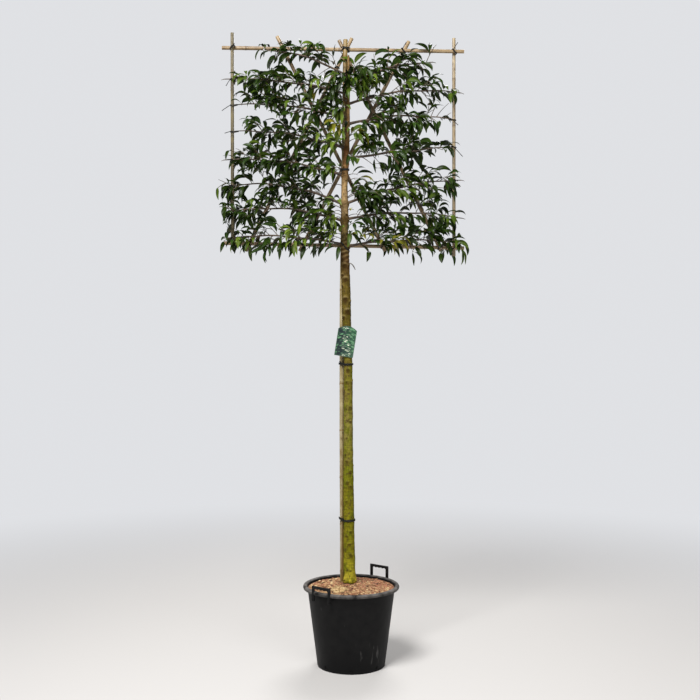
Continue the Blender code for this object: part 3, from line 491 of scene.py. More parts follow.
def crumbly(name, dark, pale):
    """Loose organic matter, mottled between a dark and a pale tone."""
    made, nodes, links, shader = start_material(name)
    place = nodes.new("ShaderNodeTexCoord").outputs["Object"]
    mottle = fine_noise(nodes, links, place, 150.0, 6.0)
    links.new(colour_ramp(nodes, links, mottle, [(0.32, dark), (0.68, pale)]), shader.inputs["Base Color"])
    shader.inputs["Roughness"].default_value = 0.92
    add_bump(nodes, links, shader, fine_noise(nodes, links, place, 700.0, 4.0), 0.0008, 0.8)
    return made


top_radius = SHOULDER_RADIUS - 0.0055
compost_rings = [(BASE_RADIUS - POT_WALL - 0.002, compost_low.z + 0.001)]
compost_rings += [(top_radius * (1 - k / COMPOST_RINGS), COMPOST_EDGE) for k in range(COMPOST_RINGS)]
compost = grow_round(compost_rings, POT_SIDES)
for vertex in compost.data.vertices:
    if vertex.co.z > COMPOST_EDGE / 2:
        vertex.co.z = compost_height(vertex.co.x, vertex.co.y)
peat = crumbly("peat", linear(88, 58, 38), linear(166, 122, 88))
finish_piece(compost, "compost_bed", [peat], ["compost"], 60)


def mesh_piece(name, corners, faces, surface, replaced=(), smooth=None, mapped=None):
    """Declares a mesh of corners and faces. A map is its name and the place of each corner on it."""
    mesh = bpy.data.meshes.new(name)
    mesh.from_pydata(corners, [], faces)
    if mapped:
        layer = mesh.uv_layers.new(name=mapped[0])
        for loop in mesh.loops:
            layer.data[loop.index].uv = mapped[1][loop.vertex_index]
    mesh.update()
    item = bpy.data.objects.new(name, mesh)
    bpy.context.scene.collection.objects.link(item)
    finish_piece(item, name, [surface], replaced, smooth)


def chip_corners(chance, x, y, length):
    """Eight uneven corners of a flat chip that lies at a slight tilt."""
    width = length * chance.uniform(0.28, 0.75)
    thick = max(0.0012, length * chance.uniform(0.08, 0.20))
    tilt = Matrix.Rotation(chance.uniform(0, 2 * math.pi), 3, "Z")
    tilt = tilt @ Matrix.Rotation(chance.gauss(0, 0.20), 3, "X")
    tilt = tilt @ Matrix.Rotation(chance.gauss(0, 0.20), 3, "Y")
    centre = Vector((x, y, compost_height(x, y) + thick * 0.35))
    corners = []
    for up in (-0.5, 0.5):
        for ahead, across in ((-0.5, -0.5), (0.5, -0.5), (0.5, 0.5), (-0.5, 0.5)):
            jolt = [chance.uniform(0.72, 1.15) for _ in range(3)]
            corner = Vector((length * ahead * jolt[0], width * across * jolt[1], thick * up * jolt[2]))
            corners.append(centre + tilt @ corner)
    return corners


def scatter_chips(name, count, seed, surface, straw):
    """Bark chips all over the compost, clear of the stem. Straw above 0 draws them to the front left."""
    chance = random.Random(seed)
    corners, faces = [], []
    while len(faces) < count * len(CHIP_FACES):
        reach = (SHOULDER_RADIUS - 0.016) * math.sqrt(chance.random())
        turn = chance.uniform(0, 2 * math.pi)
        x, y = reach * math.cos(turn), reach * math.sin(turn)
        if straw > STRAWY and chance.random() < HEAPED_SHARE:
            middle, width, _ = STRAW_HEAP
            x, y = middle + Vector((chance.gauss(0, 1), chance.gauss(0, 1))) * 0.55 * width
            reach = math.hypot(x, y)
        length = CHIP_SHORTEST + (CHIP_LONGEST - CHIP_SHORTEST) * chance.random() ** 3.0
        by_stem = (Vector((x, y)) - STEM_HEAP[0]).length < STEM_CLEAR + length / 2
        if by_stem or reach + length / 2 > SHOULDER_RADIUS - 0.008:
            continue
        pale_side = (x * STRAW_SIDE.x + y * STRAW_SIDE.y) / SHOULDER_RADIUS
        if chance.random() > 0.5 + straw * (pale_side + 2.5 * heap_share(x, y, STRAW_HEAP)):
            continue
        first = len(corners)
        corners += chip_corners(chance, x, y, length)
        faces += [tuple(first + c for c in face) for face in CHIP_FACES]
    mesh_piece(name, corners, faces, surface)


for number, (chip_name, chip_share, straw, chip_dark, chip_pale) in enumerate(CHIP_KINDS):
    chip_skin = crumbly(chip_name + "_skin", chip_dark, chip_pale)
    scatter_chips(chip_name, int(CHIP_COUNT * chip_share), 40 + number, chip_skin, straw)


# Trunk: one straight stem, from a slight flare on the compost to the leader tied against the top rail.
# Smooth bark, green with algae, with knobs at the branch unions and healed scars where shoots were pruned.
trunk_low, trunk_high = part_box("trunk")
TRUNK_ROWS = [
    (trunk_low.z, -0.008, 0.000, 0.0360),
    (0.420, -0.008, 0.000, 0.0335),
    (0.460, -0.009, 0.000, 0.0305),
    (0.720, -0.012, 0.000, 0.0275),
    (0.920, -0.014, 0.000, 0.0260),
    (1.120, -0.015, 0.000, 0.0238),
    (1.500, -0.016, 0.000, 0.0215),
    (1.745, -0.023, 0.000, 0.0222),
    (2.010, -0.030, 0.000, 0.0212),
    (2.070, -0.031, 0.000, 0.0205),
    (2.130, -0.032, 0.000, 0.0172),
    (2.270, -0.033, 0.000, 0.0185),
    (2.340, -0.033, 0.000, 0.0160),
    (2.450, -0.031, 0.000, 0.0152),
    (2.520, -0.026, 0.001, 0.0165),
    (2.590, -0.021, 0.002, 0.0125),
    (2.670, -0.017, 0.004, 0.0100),
    (2.820, -0.015, 0.005, 0.0082),
    (trunk_high.z, -0.0135, 0.007, 0.0050),
]
TRUNK_SIDES = 8
TRUNK_STEP = 0.024
ROUND_SHRINK = (2 + math.cos(2 * math.pi / TRUNK_SIDES)) / 3
ROOT_FLARES = 5
# Pruning scars that show in front: height, place across the stem from -1 to 1, and size.
PRUNING_SCARS = [
    (1.988, -0.2, 0.019), (1.985, 0.95, 0.017), (1.942, -0.75, 0.012), (1.918, 0.0, 0.020),
    (1.886, -0.9, 0.014), (1.818, -0.25, 0.021), (1.804, 0.95, 0.016), (1.757, 0.3, 0.023),
    (1.728, -0.75, 0.017), (1.465, 0.05, 0.017), (1.405, -0.4, 0.015), (1.408, 0.98, 0.015),
    (1.372, 0.1, 0.010), (1.278, 0.45, 0.016), (1.210, 0.5, 0.013), (1.130, -0.3, 0.009),
    (1.010, -0.2, 0.016), (0.960, 0.35, 0.015), (0.905, -0.2, 0.015), (0.885, 0.4, 0.016),
    (0.815, -0.4, 0.010), (0.660, 0.3, 0.013), (0.640, -0.4, 0.012), (0.600, 0.1, 0.013),
    (0.545, 0.25, 0.017), (0.470, 0.2, 0.008),
]
HIDDEN_SCARS = 18
HIDDEN_SCARS_FROM = 0.12
HIDDEN_SCARS_OVER = 1.5
CROWN_KNOTS = 30
CROWN_KNOTS_OVER = 0.92
CROWN_FOOT = 2.03
COLLAR_HEIGHT = 2.075
COLLAR_HALF = 0.07
SCARRED_FROM = 1.68
CANE_SIDE_TURN = math.radians(-168)
ALGAE_TOP = 2.02
ALGAE_GREEN = linear(98, 102, 14)
WORN_BROWN = linear(74, 60, 34)
# Pale of painted highlights on the scars' brows and the collar's fold crests.
RIDGE_HIGHLIGHT_PALE = linear(166, 146, 98)
# Brown of the scars, also used for painted shade beside the cane and in the collar's folds.
SCAR_AND_SHADE_BROWN = linear(50, 34, 6)
# Bark colour up the stem, as shares of its height: yellow-green foot, olive stem, dark collar, tan crown.
TRUNK_TONES = [
    (0.00, linear(190, 174, 66)),
    (0.03, linear(150, 144, 38)),
    (0.07, linear(114, 108, 20)),
    (0.20, linear(108, 102, 22)),
    (0.29, linear(118, 108, 58)),
    (0.38, linear(112, 100, 44)),
    (0.50, linear(80, 68, 22)),
    (0.56, linear(86, 72, 28)),
    (0.61, linear(70, 48, 26)),
    (0.66, linear(98, 84, 52)),
    (0.70, linear(86, 68, 38)),
    (0.715, linear(152, 128, 98)),
    (0.76, linear(136, 110, 78)),
    (0.79, linear(122, 90, 60)),
    (0.82, linear(90, 60, 38)),
    (0.86, linear(132, 102, 70)),
    (0.93, linear(122, 97, 67)),
]

# Side branches of the espalier, numbered from the lowest: side, height at the trunk, at a third of the way
# and at the side cane, how far the branch reaches as a share of that way, and shoots along it.
TIERS = [
    ("left", 2.095, 2.128, 2.134, 1.06, 26),
    ("left", 2.212, 2.262, 2.265, 1.06, 25),
    ("left", 2.295, 2.365, 2.396, 1.06, 25),
    ("left", 2.440, 2.492, 2.526, 1.06, 25),
    ("left", 2.575, 2.632, 2.667, 0.96, 22),
    ("left", 2.730, 2.775, 2.800, 0.97, 24),
    ("left", 2.850, 2.895, 2.931, 1.06, 22),
    ("left", 2.940, 3.030, 3.066, 0.74, 12),
    ("right", 2.088, 2.112, 2.115, 1.07, 26),
    ("right", 2.222, 2.252, 2.242, 1.07, 24),
    ("right", 2.300, 2.362, 2.428, 1.06, 24),
    ("right", 2.530, 2.552, 2.598, 0.99, 24),
    ("right", 2.700, 2.735, 2.733, 0.97, 22),
    ("right", 2.800, 2.850, 2.873, 1.06, 20),
    ("right", 2.900, 2.975, 3.014, 0.79, 20),
]


def trunk_at(height):
    """(x, y, radius) of the trunk, on a smooth curve through its rows."""
    heights = [row[0] for row in TRUNK_ROWS]
    height = min(max(height, heights[0]), heights[-1])
    above = next(i for i, h in enumerate(heights) if h >= height)
    low = max(above - 1, 0)
    high = low + 1
    span = heights[high] - heights[low]
    share = (height - heights[low]) / span
    before, after = max(low - 1, 0), min(high + 1, len(heights) - 1)
    values = []
    for column in (1, 2, 3):
        start, end = TRUNK_ROWS[low][column], TRUNK_ROWS[high][column]
        slope_in = (end - TRUNK_ROWS[before][column]) / (heights[high] - heights[before])
        slope_out = (TRUNK_ROWS[after][column] - start) / (heights[after] - heights[low])
        values.append(
            start * (1 + 2 * share) * (1 - share) ** 2
            + end * share**2 * (3 - 2 * share)
            + slope_in * span * share * (1 - share) ** 2
            - slope_out * span * share**2 * (1 - share)
        )
    return values


def scar_places():
    """(height, angle, size) of every scar: those that show in front, and others all round."""
    places = [(z, math.asin(across) - math.pi / 2, size) for z, across, size in PRUNING_SCARS]
    chance = random.Random(5)
    for k in range(HIDDEN_SCARS):
        height = trunk_low.z + HIDDEN_SCARS_FROM + HIDDEN_SCARS_OVER * (k + chance.random()) / HIDDEN_SCARS
        places.append((height, chance.uniform(0.1, math.pi - 0.1), chance.uniform(0.008, 0.013)))
    for k in range(CROWN_KNOTS):
        height = CROWN_FOOT + CROWN_KNOTS_OVER * (k + chance.random()) / CROWN_KNOTS
        size = chance.uniform(0.35, 0.60) * trunk_at(height)[2]
        places.append((height, chance.uniform(-math.pi, math.pi), size))
    return places


def knob_places():
    """(height, angle, size) of the swelling under each side branch."""
    places = []
    for side, foot, *_ in TIERS:
        places.append((foot, math.pi if side == "left" else 0.0, 0.85 * trunk_at(foot)[2]))
    return places


def turn_between(a, b):
    """The shorter turn from one angle to another."""
    return (a - b + math.pi) % (2 * math.pi) - math.pi


scars = scar_places()
knobs = knob_places()


def sound_bark(around, height, angle, radius):
    """Low lumps, ripples and pores of sound bark, the flare at its foot, and a dark line of painted shade
    beside the cane.
    """
    lift = 0.0016 * noise.noise(around * 24) + 0.0008 * noise.noise(around * 80)
    lift += 0.0005 * noise.noise(Vector((around.x * 260, around.y * 260, height * 22)))
    lift += 0.0004 * max(0.0, noise.noise(Vector((around.x * 70, around.y * 70, height * 520))))
    lift *= min(1.0, radius / 0.018)
    foot = max(0.0, 1 - (height - trunk_low.z) / 0.055)
    lift += 0.0035 * foot**2 * math.cos(ROOT_FLARES * angle + 0.6)
    # Painted shade: a dark line down the bark where the cane stands beside it.
    beside_cane = turn_between(angle, CANE_SIDE_TURN) / 0.24
    dark = 0.60 * math.exp(-(beside_cane**2)) if height < CROWN_FOOT else 0.0
    return lift, dark, 0.0


def scarred_bark(around, height, angle, radius):
    """Healed scars, each a ragged dark dimple in a low swelling, with a pale painted highlight on the brow
    above it.
    """
    young = height > SCARRED_FROM
    lift = dark = pale = 0.0
    for place, side, size in scars:
        along = (height - place) / (size * 0.62)
        if abs(along) >= 3.2:
            continue
        across = turn_between(angle, side) * radius / (size * 0.66)
        away = math.hypot(along, across)
        brow = math.exp(-5 * (along - 1.25 + 0.22 * across**2) ** 2 - 0.8 * across**2)
        lift += 0.15 * size * brow + 0.11 * size * math.exp(-0.5 * away**2)
        lift -= 0.13 * size * math.exp(-2.2 * away**2)
        ragged = away + 0.45 * noise.noise(around * 110)
        dark = max(dark, (1.0 if young else 0.72) * math.exp(-0.8 * ragged**4))
        # The brow's pale is a painted highlight.
        pale = max(pale, (0.34 if young else 0.10) * brow)
    return lift, dark, pale


def collar_bark(around, height, angle, radius):
    """Fine folds round the stem, close under its lowest branches: a slightly darker band, with painted shade
    in the folds' troughs and a painted highlight on their crests.
    """
    near = math.exp(-(((height - COLLAR_HEIGHT) / COLLAR_HALF) ** 2))
    fold = math.sin(260 * height + 1.5 * math.sin(2 * angle) + 3 * noise.noise(around * 12))
    # Painted shade in the folds' troughs, over a slightly darker band.
    dark = near * (0.15 + 0.60 * max(0.0, -fold))
    # Painted highlight on the folds' crests.
    return 0.0014 * near * fold, dark, 0.30 * near * max(0.0, fold)


def knobbly_bark(around, height, angle, radius):
    """The swelling under each side branch, wrinkled and dark."""
    lift = dark = 0.0
    for place, side, size in knobs:
        along = (height - place) / size
        if abs(along) >= 3:
            continue
        across = turn_between(angle, side) * radius / size
        away = math.hypot(along * 0.8, across)
        lift += 0.30 * size * math.exp(-1.5 * away**2) + 0.06 * size * math.exp(-1.5 * along**2)
        wrinkle = 0.5 + 0.5 * math.sin(23 / 3 * along + 2.2 * math.sin(3 * angle))
        lift += 0.03 * size * wrinkle * math.exp(-0.9 * along**2)
        dark = max(dark, (0.35 + 0.5 * wrinkle) * math.exp(-0.7 * along**2 - 0.08 * across**2))
    return lift, dark, 0.0


def bark_relief(height, angle, radius):
    """How far the bark stands out, how dark its scars and painted shade are, and how pale its painted
    highlights are, from 0 to 1.
    """
    around = Vector((math.cos(angle) * radius, math.sin(angle) * radius, height))
    kinds = (sound_bark, scarred_bark, collar_bark, knobbly_bark)
    lifts, darks, pales = zip(*(kind(around, height, angle, radius) for kind in kinds))
    return sum(lifts), max(darks), max(pales)


def bark(name, low, high):
    """Smooth bark coloured by height, mottled, darker at its scars and in painted shade, paler in painted
    highlights, and green where algae grow.
    """
    made, nodes, links, shader = start_material(name)
    place = nodes.new("ShaderNodeTexCoord").outputs["Object"]
    apart = nodes.new("ShaderNodeSeparateXYZ")
    links.new(place, apart.inputs["Vector"])
    wavering = fine_noise(nodes, links, place, 6.0, 3.0)
    level = calculate(nodes, links, "MULTIPLY_ADD", wavering, 0.30, apart.outputs["Z"])
    base = colour_ramp(nodes, links, grey_ramp(nodes, links, level, low + 0.15, high + 0.15), TRUNK_TONES)
    patches = grey_ramp(nodes, links, fine_noise(nodes, links, place, 30.0, 6.0, (1, 1, 0.55)), 0.44, 0.62)
    growing = grey_ramp(nodes, links, level, ALGAE_TOP, ALGAE_TOP - 0.35, end=0.85)
    algae = calculate(nodes, links, "MULTIPLY", patches, growing)
    green = mix_colours(nodes, links, algae, base, ALGAE_GREEN)
    worn = grey_ramp(nodes, links, fine_noise(nodes, links, place, 64.0, 6.0, (1, 1, 0.8)), 0.56, 0.70)
    patchy = mix_colours(nodes, links, worn, green, WORN_BROWN)
    grain = fine_noise(nodes, links, place, 240.0, 5.0, (1, 1, 0.22))
    streaks = colour_ramp(nodes, links, grain, [(0.28, (0.42, 0.42, 0.42)), (0.64, (1.20, 1.18, 1.10))])
    streaky = mix_colours(nodes, links, 0.75, patchy, streaks, "MULTIPLY")
    bands = fine_noise(nodes, links, place, 36.0, 4.0, (1, 1, 3.2))
    band_tones = colour_ramp(nodes, links, bands, [(0.36, (0.68, 0.66, 0.50)), (0.62, (1.18, 1.17, 1.00))])
    banded = mix_colours(nodes, links, 0.8, streaky, band_tones, "MULTIPLY")
    # Painted highlights on the scars' brows and the collar's fold crests.
    highlighted = mix_colours(nodes, links, attribute(nodes, "ridge_highlight"), banded, RIDGE_HIGHLIGHT_PALE)
    # Dark scars, and painted shade beside the cane and in the collar's fold troughs.
    scarred_and_shaded = mix_colours(nodes, links, attribute(nodes, "scar_and_shade"), highlighted, SCAR_AND_SHADE_BROWN)
    links.new(scarred_and_shaded, shader.inputs["Base Color"])
    shader.inputs["Roughness"].default_value = 0.78
    shader.inputs["Specular IOR Level"].default_value = 0.08
    add_bump(nodes, links, shader, grain, 0.0009, 0.7)
    return made


def grow_limb(points, radii):
    """Extrudes the selected round face along points, with a radius at each."""
    for k in range(1, len(points)):
        step = points[k] - points[k - 1]
        share = radii[k] / radii[k - 1]
        bpy.ops.mesh.extrude_region_move(TRANSFORM_OT_translate={"value": tuple(step)})
        bpy.ops.transform.resize(value=(share, share, 1), center_override=tuple(points[k]))


steps = math.ceil((trunk_high.z - trunk_low.z) / TRUNK_STEP)
trunk_heights = [trunk_low.z + (trunk_high.z - trunk_low.z) * k / steps for k in range(steps + 1)]
trunk_points = [Vector((*trunk_at(z)[:2], z)) for z in trunk_heights]
trunk_radii = [trunk_at(z)[2] / ROUND_SHRINK for z in trunk_heights]
bpy.ops.mesh.primitive_circle_add(
    vertices=TRUNK_SIDES, radius=trunk_radii[0], fill_type="NGON", location=trunk_points[0]
)
trunk = bpy.context.object
bpy.ops.object.transform_apply(location=True)
bpy.ops.object.mode_set(mode="EDIT")
bpy.ops.mesh.select_all(action="SELECT")
grow_limb(trunk_points, trunk_radii)
bpy.ops.mesh.extrude_region_move(TRANSFORM_OT_translate={"value": (0, 0, 0.001)})
bpy.ops.transform.resize(value=(0.6, 0.6, 1), center_override=tuple(trunk_points[-1]))
bpy.ops.mesh.select_all(action="SELECT")
bpy.ops.mesh.normals_make_consistent(inside=False)
bpy.ops.object.mode_set(mode="OBJECT")
rounding = trunk.modifiers.new("rounding", "SUBSURF")
rounding.levels = rounding.render_levels = 3
bpy.ops.object.modifier_apply(modifier="rounding")
scar_and_shade_marks = trunk.data.attributes.new("scar_and_shade", "FLOAT", "POINT")
ridge_highlight_marks = trunk.data.attributes.new("ridge_highlight", "FLOAT", "POINT")
for index, vertex in enumerate(trunk.data.vertices):
    x, y, radius = trunk_at(vertex.co.z)
    out = Vector((vertex.co.x - x, vertex.co.y - y, 0))
    lift, dark, pale = bark_relief(vertex.co.z, math.atan2(out.y, out.x), max(out.length, 0.001))
    if out.length > 0.4 * radius:
        vertex.co += out.normalized() * lift
    # Dark marks hold scars and painted shade; pale marks hold painted highlights.
    scar_and_shade_marks.data[index].value = dark
    ridge_highlight_marks.data[index].value = pale
trunk_bark = bark("trunk_bark", trunk_low.z, trunk_high.z)
finish_piece(trunk, "trunk_with_bark", [trunk_bark], ["trunk"], 60)


# Bamboo canes: a long one driven in beside the stem, two rails, two uprights and four braces at the back.
# Each is a dried culm with a raised ring at every node and its hollow showing at the sawn ends.
CANE_SIDES = 20
# A node's raised ring, as height from its middle and swell.
RING_PROFILE = (
    (-0.0110, 1.00), (-0.0045, 1.03), (-0.0018, 1.12), (-0.0004, 1.12),
    (0.0012, 1.01), (0.0030, 1.06), (0.0100, 1.00),
)
RING_SPACING = 0.235
RING_CLEAR = 0.024
CANE_HOLLOW = 0.62
HOLLOW_DEPTH = 0.014
CANE_TAPER = 0.03
# The long cane carries painted shade on its side by the stem and near its top, and it is darker towards its
# foot.
SHADED_SIDE_WAY = Vector((0.87, -0.50))
DARKER_BELOW = 0.44
SHADED_TOP_FROM = 2.50
TOP_SHADE = 0.72
# Height and sideways place of the long cane, which bows a little.
UPRIGHT_ROWS = [
    (0.180, -0.0437), (0.420, -0.0442), (1.120, -0.0473), (1.800, -0.0473),
    (2.320, -0.0392), (2.820, -0.0337), (3.132, -0.0286),
]
UPRIGHT_RADIUS = 0.0115
UPRIGHT_Y = 0.0325
UPRIGHT_FIRST_RING = 0.28
# Heights at which the long cane is tied to the trunk, holds the label's loop, and crosses the rails.
LOW_TIE, HIGH_TIE, CROWN_TIE = 0.722, 1.500, 2.472
LABEL_HANG = 1.678
RAIL_CROSSINGS = (2.100, 3.087)
RAIL_RADIUS = 0.0095
SIDE_RADIUS = 0.0085
BRACE_RADIUS = 0.0095
HAIR = 0.0003
RAIL_Y = UPRIGHT_Y + UPRIGHT_RADIUS + RAIL_RADIUS + HAIR
FRONT_SIDE_Y = RAIL_Y - RAIL_RADIUS - SIDE_RADIUS - HAIR
BACK_SIDE_Y = RAIL_Y + RAIL_RADIUS + SIDE_RADIUS + HAIR
BRACE_Y = RAIL_Y + RAIL_RADIUS + BRACE_RADIUS + HAIR
REAR_BRACE_Y = BRACE_Y + 2 * BRACE_RADIUS - HAIR
LEFT_SIDE_X = -0.599
RIGHT_SIDE_X = 0.521


def bamboo(name, dark, middle, pale, stain):
    """Dried cane: fine streaks along it, blotches of mould, and darker rings and painted shade where its mark
    says. Reads the cane's own map.
    """
    dark, middle, pale, stain = (linear(*colour) for colour in (dark, middle, pale, stain))
    made, nodes, links, shader = start_material(name)
    cane_map = nodes.new("ShaderNodeUVMap")
    cane_map.uv_map = "cane"
    along = cane_map.outputs["UV"]
    streaks = fine_noise(nodes, links, along, 30.0, 4.0, (14, 0.5, 1))
    blotches = fine_noise(nodes, links, along, 14.0, 5.0, (2.5, 1, 1))
    less = calculate(nodes, links, "MULTIPLY", blotches, 0.55)
    uneven = calculate(nodes, links, "MULTIPLY_ADD", streaks, 0.45, less)
    base = colour_ramp(nodes, links, uneven, [(0.36, dark), (0.50, middle), (0.66, pale)])
    spots = grey_ramp(nodes, links, fine_noise(nodes, links, along, 46.0, 3.0, (1.6, 1, 1)), 0.60, 0.74)
    stained = mix_colours(nodes, links, spots, base, stain)
    # Darker at the node rings, and painted shade in the hollow ends and on the long cane's side by the stem
    # and its top.
    links.new(mix_colours(nodes, links, attribute(nodes, "ring_and_shade"), stained, dark), shader.inputs["Base Color"])
    shader.inputs["Roughness"].default_value = 0.50
    add_bump(nodes, links, shader, streaks, 0.0005, 0.6)
    return made


CANE_TAN = bamboo("cane_tan", (84, 64, 40), (130, 108, 76), (168, 146, 112), (62, 48, 32))
CANE_PALE = bamboo("cane_pale", (95, 77, 52), (137, 119, 90), (170, 154, 123), (80, 64, 43))
CANE_GREY = bamboo("cane_grey", (53, 46, 26), (85, 74, 45), (113, 100, 62), (36, 30, 17))
CANE_KHAKI = bamboo("cane_khaki", (108, 82, 30), (148, 134, 96), (182, 170, 134), (96, 82, 46))


class Rod:
    """A straight cane between two (x, z) places, level in its depth."""

    def __init__(self, node, start, end, depth, radius, first_ring, surface):
        self.node = node
        self.start = Vector((start[0], depth, start[1]))
        self.end = Vector((end[0], depth, end[1]))
        self.radius = radius
        self.first_ring = first_ring
        self.surface = surface
        self.length = (self.end - self.start).length

    def crossing(self, other):
        """Distance along this cane at which it crosses the other in the front view, or None."""
        a, b = self.end - self.start, other.end - other.start
        gap = other.start - self.start
        turn = a.x * b.z - a.z * b.x
        if abs(turn) < 1e-6:
            return None
        mine = (gap.x * b.z - gap.z * b.x) / turn
        its = (gap.x * a.z - gap.z * a.x) / turn
        if 0 <= mine <= 1 and 0 <= its <= 1:
            return mine * self.length
        return None

    def point(self, along):
        """The place at a distance along this cane."""
        return self.start.lerp(self.end, along / self.length)

    def point_at_x(self, x):
        """The place at which this cane has gone so far sideways."""
        return self.start.lerp(self.end, (x - self.start.x) / (self.end.x - self.start.x))


def cane_rings(length, radius, first, kept_clear):
    """(radius, height, dark mark) up a standing cane, from inside its lower end to inside its upper end. The
    mark darkens the nodes, and inside the hollow ends it is painted shade, darker further in.
    """
    # Painted shade inside the hollow, darker further in.
    rings = [(radius * CANE_HOLLOW, HOLLOW_DEPTH, 0.6), (radius * CANE_HOLLOW, 0.0, 0.3)]
    rings += [(radius * 0.95, 0.0, 0.0), (radius, 0.0008, 0.0)]
    along = first
    while along < length - 0.02:
        if all(abs(along - c) > RING_CLEAR for c in kept_clear):
            size = radius * (1 - CANE_TAPER * along / length)
            for offset, swell in RING_PROFILE:
                mark = 0.85 if abs(offset - 0.0012) < 0.002 else 0.15
                rings.append((size * swell, along + offset, mark))
        along += RING_SPACING
    tip = radius * (1 - CANE_TAPER)
    rings += [(tip, length - 0.0008, 0.0), (tip * 0.95, length, 0.0)]
    # Painted shade inside the hollow, darker further in.
    rings += [(tip * CANE_HOLLOW, length, 0.3), (tip * CANE_HOLLOW, length - HOLLOW_DEPTH, 0.6)]
    return rings


def cane_darkening(co):
    """How dark the long cane is at a place, with heights from its lower end: painted shade on its side by the
    stem and near its top, and darker towards its foot.
    """
    # Painted shade on the side by the stem, darker towards the foot, and painted shade near the top.
    darkening = 4.0 * (co.xy.normalized().dot(SHADED_SIDE_WAY) - 0.18) + 5.0 * (DARKER_BELOW - co.z)
    darkening = max(darkening, min(TOP_SHADE, 5.0 * (co.z - SHADED_TOP_FROM)))
    return min(0.9, max(0.0, darkening))


def add_cane(name, node, rings, place_point, surface, darkening_at=lambda co: 0.0):
    """Grows a standing cane through its rings, lays its map and its dark marks, and moves each point."""
    cane = grow_round([ring_and_shade[:2] for ring_and_shade in rings], CANE_SIDES)
    marks = cane.data.attributes.new("ring_and_shade", "FLOAT", "POINT")
    uv_map = cane.data.uv_layers.active or cane.data.uv_layers.new()
    uv_map.name = "cane"
    for loop in cane.data.loops:
        co = cane.data.vertices[loop.vertex_index].co
        uv_map.data[loop.index].uv = (abs(math.atan2(co.y, co.x)) / math.pi * 0.02, co.z)
    for index, vertex in enumerate(cane.data.vertices):
        nearest = min(rings, key=lambda ring_and_shade: abs(ring_and_shade[1] - vertex.co.z) + abs(ring_and_shade[0] - vertex.co.xy.length))
        marks.data[index].value = max(nearest[2], darkening_at(vertex.co))
        vertex.co = place_point(vertex.co)
    finish_piece(cane, name, [surface], [node], 35)


left, right = LEFT_SIDE_X, RIGHT_SIDE_X
rods = [
    Rod("rail_top", (-0.653, 3.097), (0.570, 3.078), RAIL_Y, RAIL_RADIUS, 0.12, CANE_TAN),
    Rod("rail_bottom", (-0.643, 2.110), (0.570, 2.085), RAIL_Y, RAIL_RADIUS, 0.17, CANE_TAN),
    Rod("side_left", (left + 0.002, 2.074), (left, 3.167), FRONT_SIDE_Y, SIDE_RADIUS, 0.10, CANE_GREY),
    Rod("side_right", (right, 2.046), (right, 3.151), BACK_SIDE_Y, SIDE_RADIUS, 0.19, CANE_PALE),
    Rod("brace_left_out", (0.172, 2.072), (-0.376, 3.161), BRACE_Y, BRACE_RADIUS, 0.14, CANE_TAN),
    Rod("brace_right_in", (0.456, 2.072), (-0.062, 3.141), BRACE_Y, BRACE_RADIUS, 0.08, CANE_TAN),
    Rod("brace_left_in", (-0.537, 2.073), (0.004, 3.157), REAR_BRACE_Y, BRACE_RADIUS, 0.10, CANE_TAN),
    Rod("brace_right_out", (-0.262, 2.073), (0.294, 3.141), REAR_BRACE_Y, BRACE_RADIUS, 0.18, CANE_TAN),
]
named = {rod.node: rod for rod in rods}


def upright_x(height):
    """Sideways place of the long cane at a height."""
    heights = [row[0] for row in UPRIGHT_ROWS]
    return float(np.interp(height, heights, [row[1] for row in UPRIGHT_ROWS]))


for rod in rods:
    crossings = [c for c in (rod.crossing(other) for other in rods if other is not rod) if c is not None]
    stand = (rod.end - rod.start).to_track_quat("Z", "Y").to_matrix()
    add_cane(
        rod.node + "_cane",
        rod.node,
        cane_rings(rod.length, rod.radius, rod.first_ring, crossings),
        lambda co, rod=rod, stand=stand: rod.start + stand @ co,
        rod.surface,
    )
upright_low, upright_high = UPRIGHT_ROWS[0][0], UPRIGHT_ROWS[-1][0]
held_heights = (LOW_TIE, HIGH_TIE, LABEL_HANG, CROWN_TIE, *RAIL_CROSSINGS)
kept_clear = [height - upright_low for height in held_heights]
add_cane(
    "upright_cane_long",
    "upright_cane",
    cane_rings(upright_high - upright_low, UPRIGHT_RADIUS, UPRIGHT_FIRST_RING, kept_clear),
    lambda co: Vector((co.x + upright_x(co.z + upright_low), co.y + UPRIGHT_Y, co.z + upright_low)),
    CANE_KHAKI,
    cane_darkening,
)


# Ties: soft black tube, wound twice round whatever it holds and knotted, with short ends left standing.
# Thick tube holds the trunk to its cane and thinner tube the frame and the branches.
THICK_TUBE = 0.0026
THIN_TUBE = 0.0017
TIE_TURNS = 2
TIE_SIDES = 16
BARK_STAND = 0.0008
# Ties of the trunk to its cane: piece, node, height, and where each loose end reaches from its knot.
TRUNK_TIES = (
    ("trunk_tie_low", "tie_trunk_low", LOW_TIE, ((-0.020, -0.004, 0.018), (-0.012, -0.010, -0.006))),
    ("trunk_tie_high", "tie_trunk_high", HIGH_TIE, ((-0.018, -0.004, 0.014), (-0.010, -0.012, -0.008))),
    ("crown_tie", "tie_crown", CROWN_TIE, ((-0.016, -0.006, 0.006),)),
)
# Ties at the frame's corners: rail, side, slant in degrees, and loose ends.
CORNER_TIES = (
    ("top", "left", 45, ((-0.006, -0.004, -0.026), (0.010, -0.004, 0.008))),
    ("top", "right", 135, ((0.021, -0.002, 0.036), (0.008, -0.004, -0.014))),
    ("bottom", "left", 135, ((-0.012, -0.004, 0.010), (0.006, -0.002, -0.018))),
    ("bottom", "right", 45, ((0.010, -0.004, 0.012),)),
)
TOP_MIDDLE = 3.07
BOTTOM_MIDDLE = 2.10
BRACE_TIE_ENDS = {"rail_top": (0.020, -0.002, 0.034), "rail_bottom": (-0.014, -0.004, -0.012)}


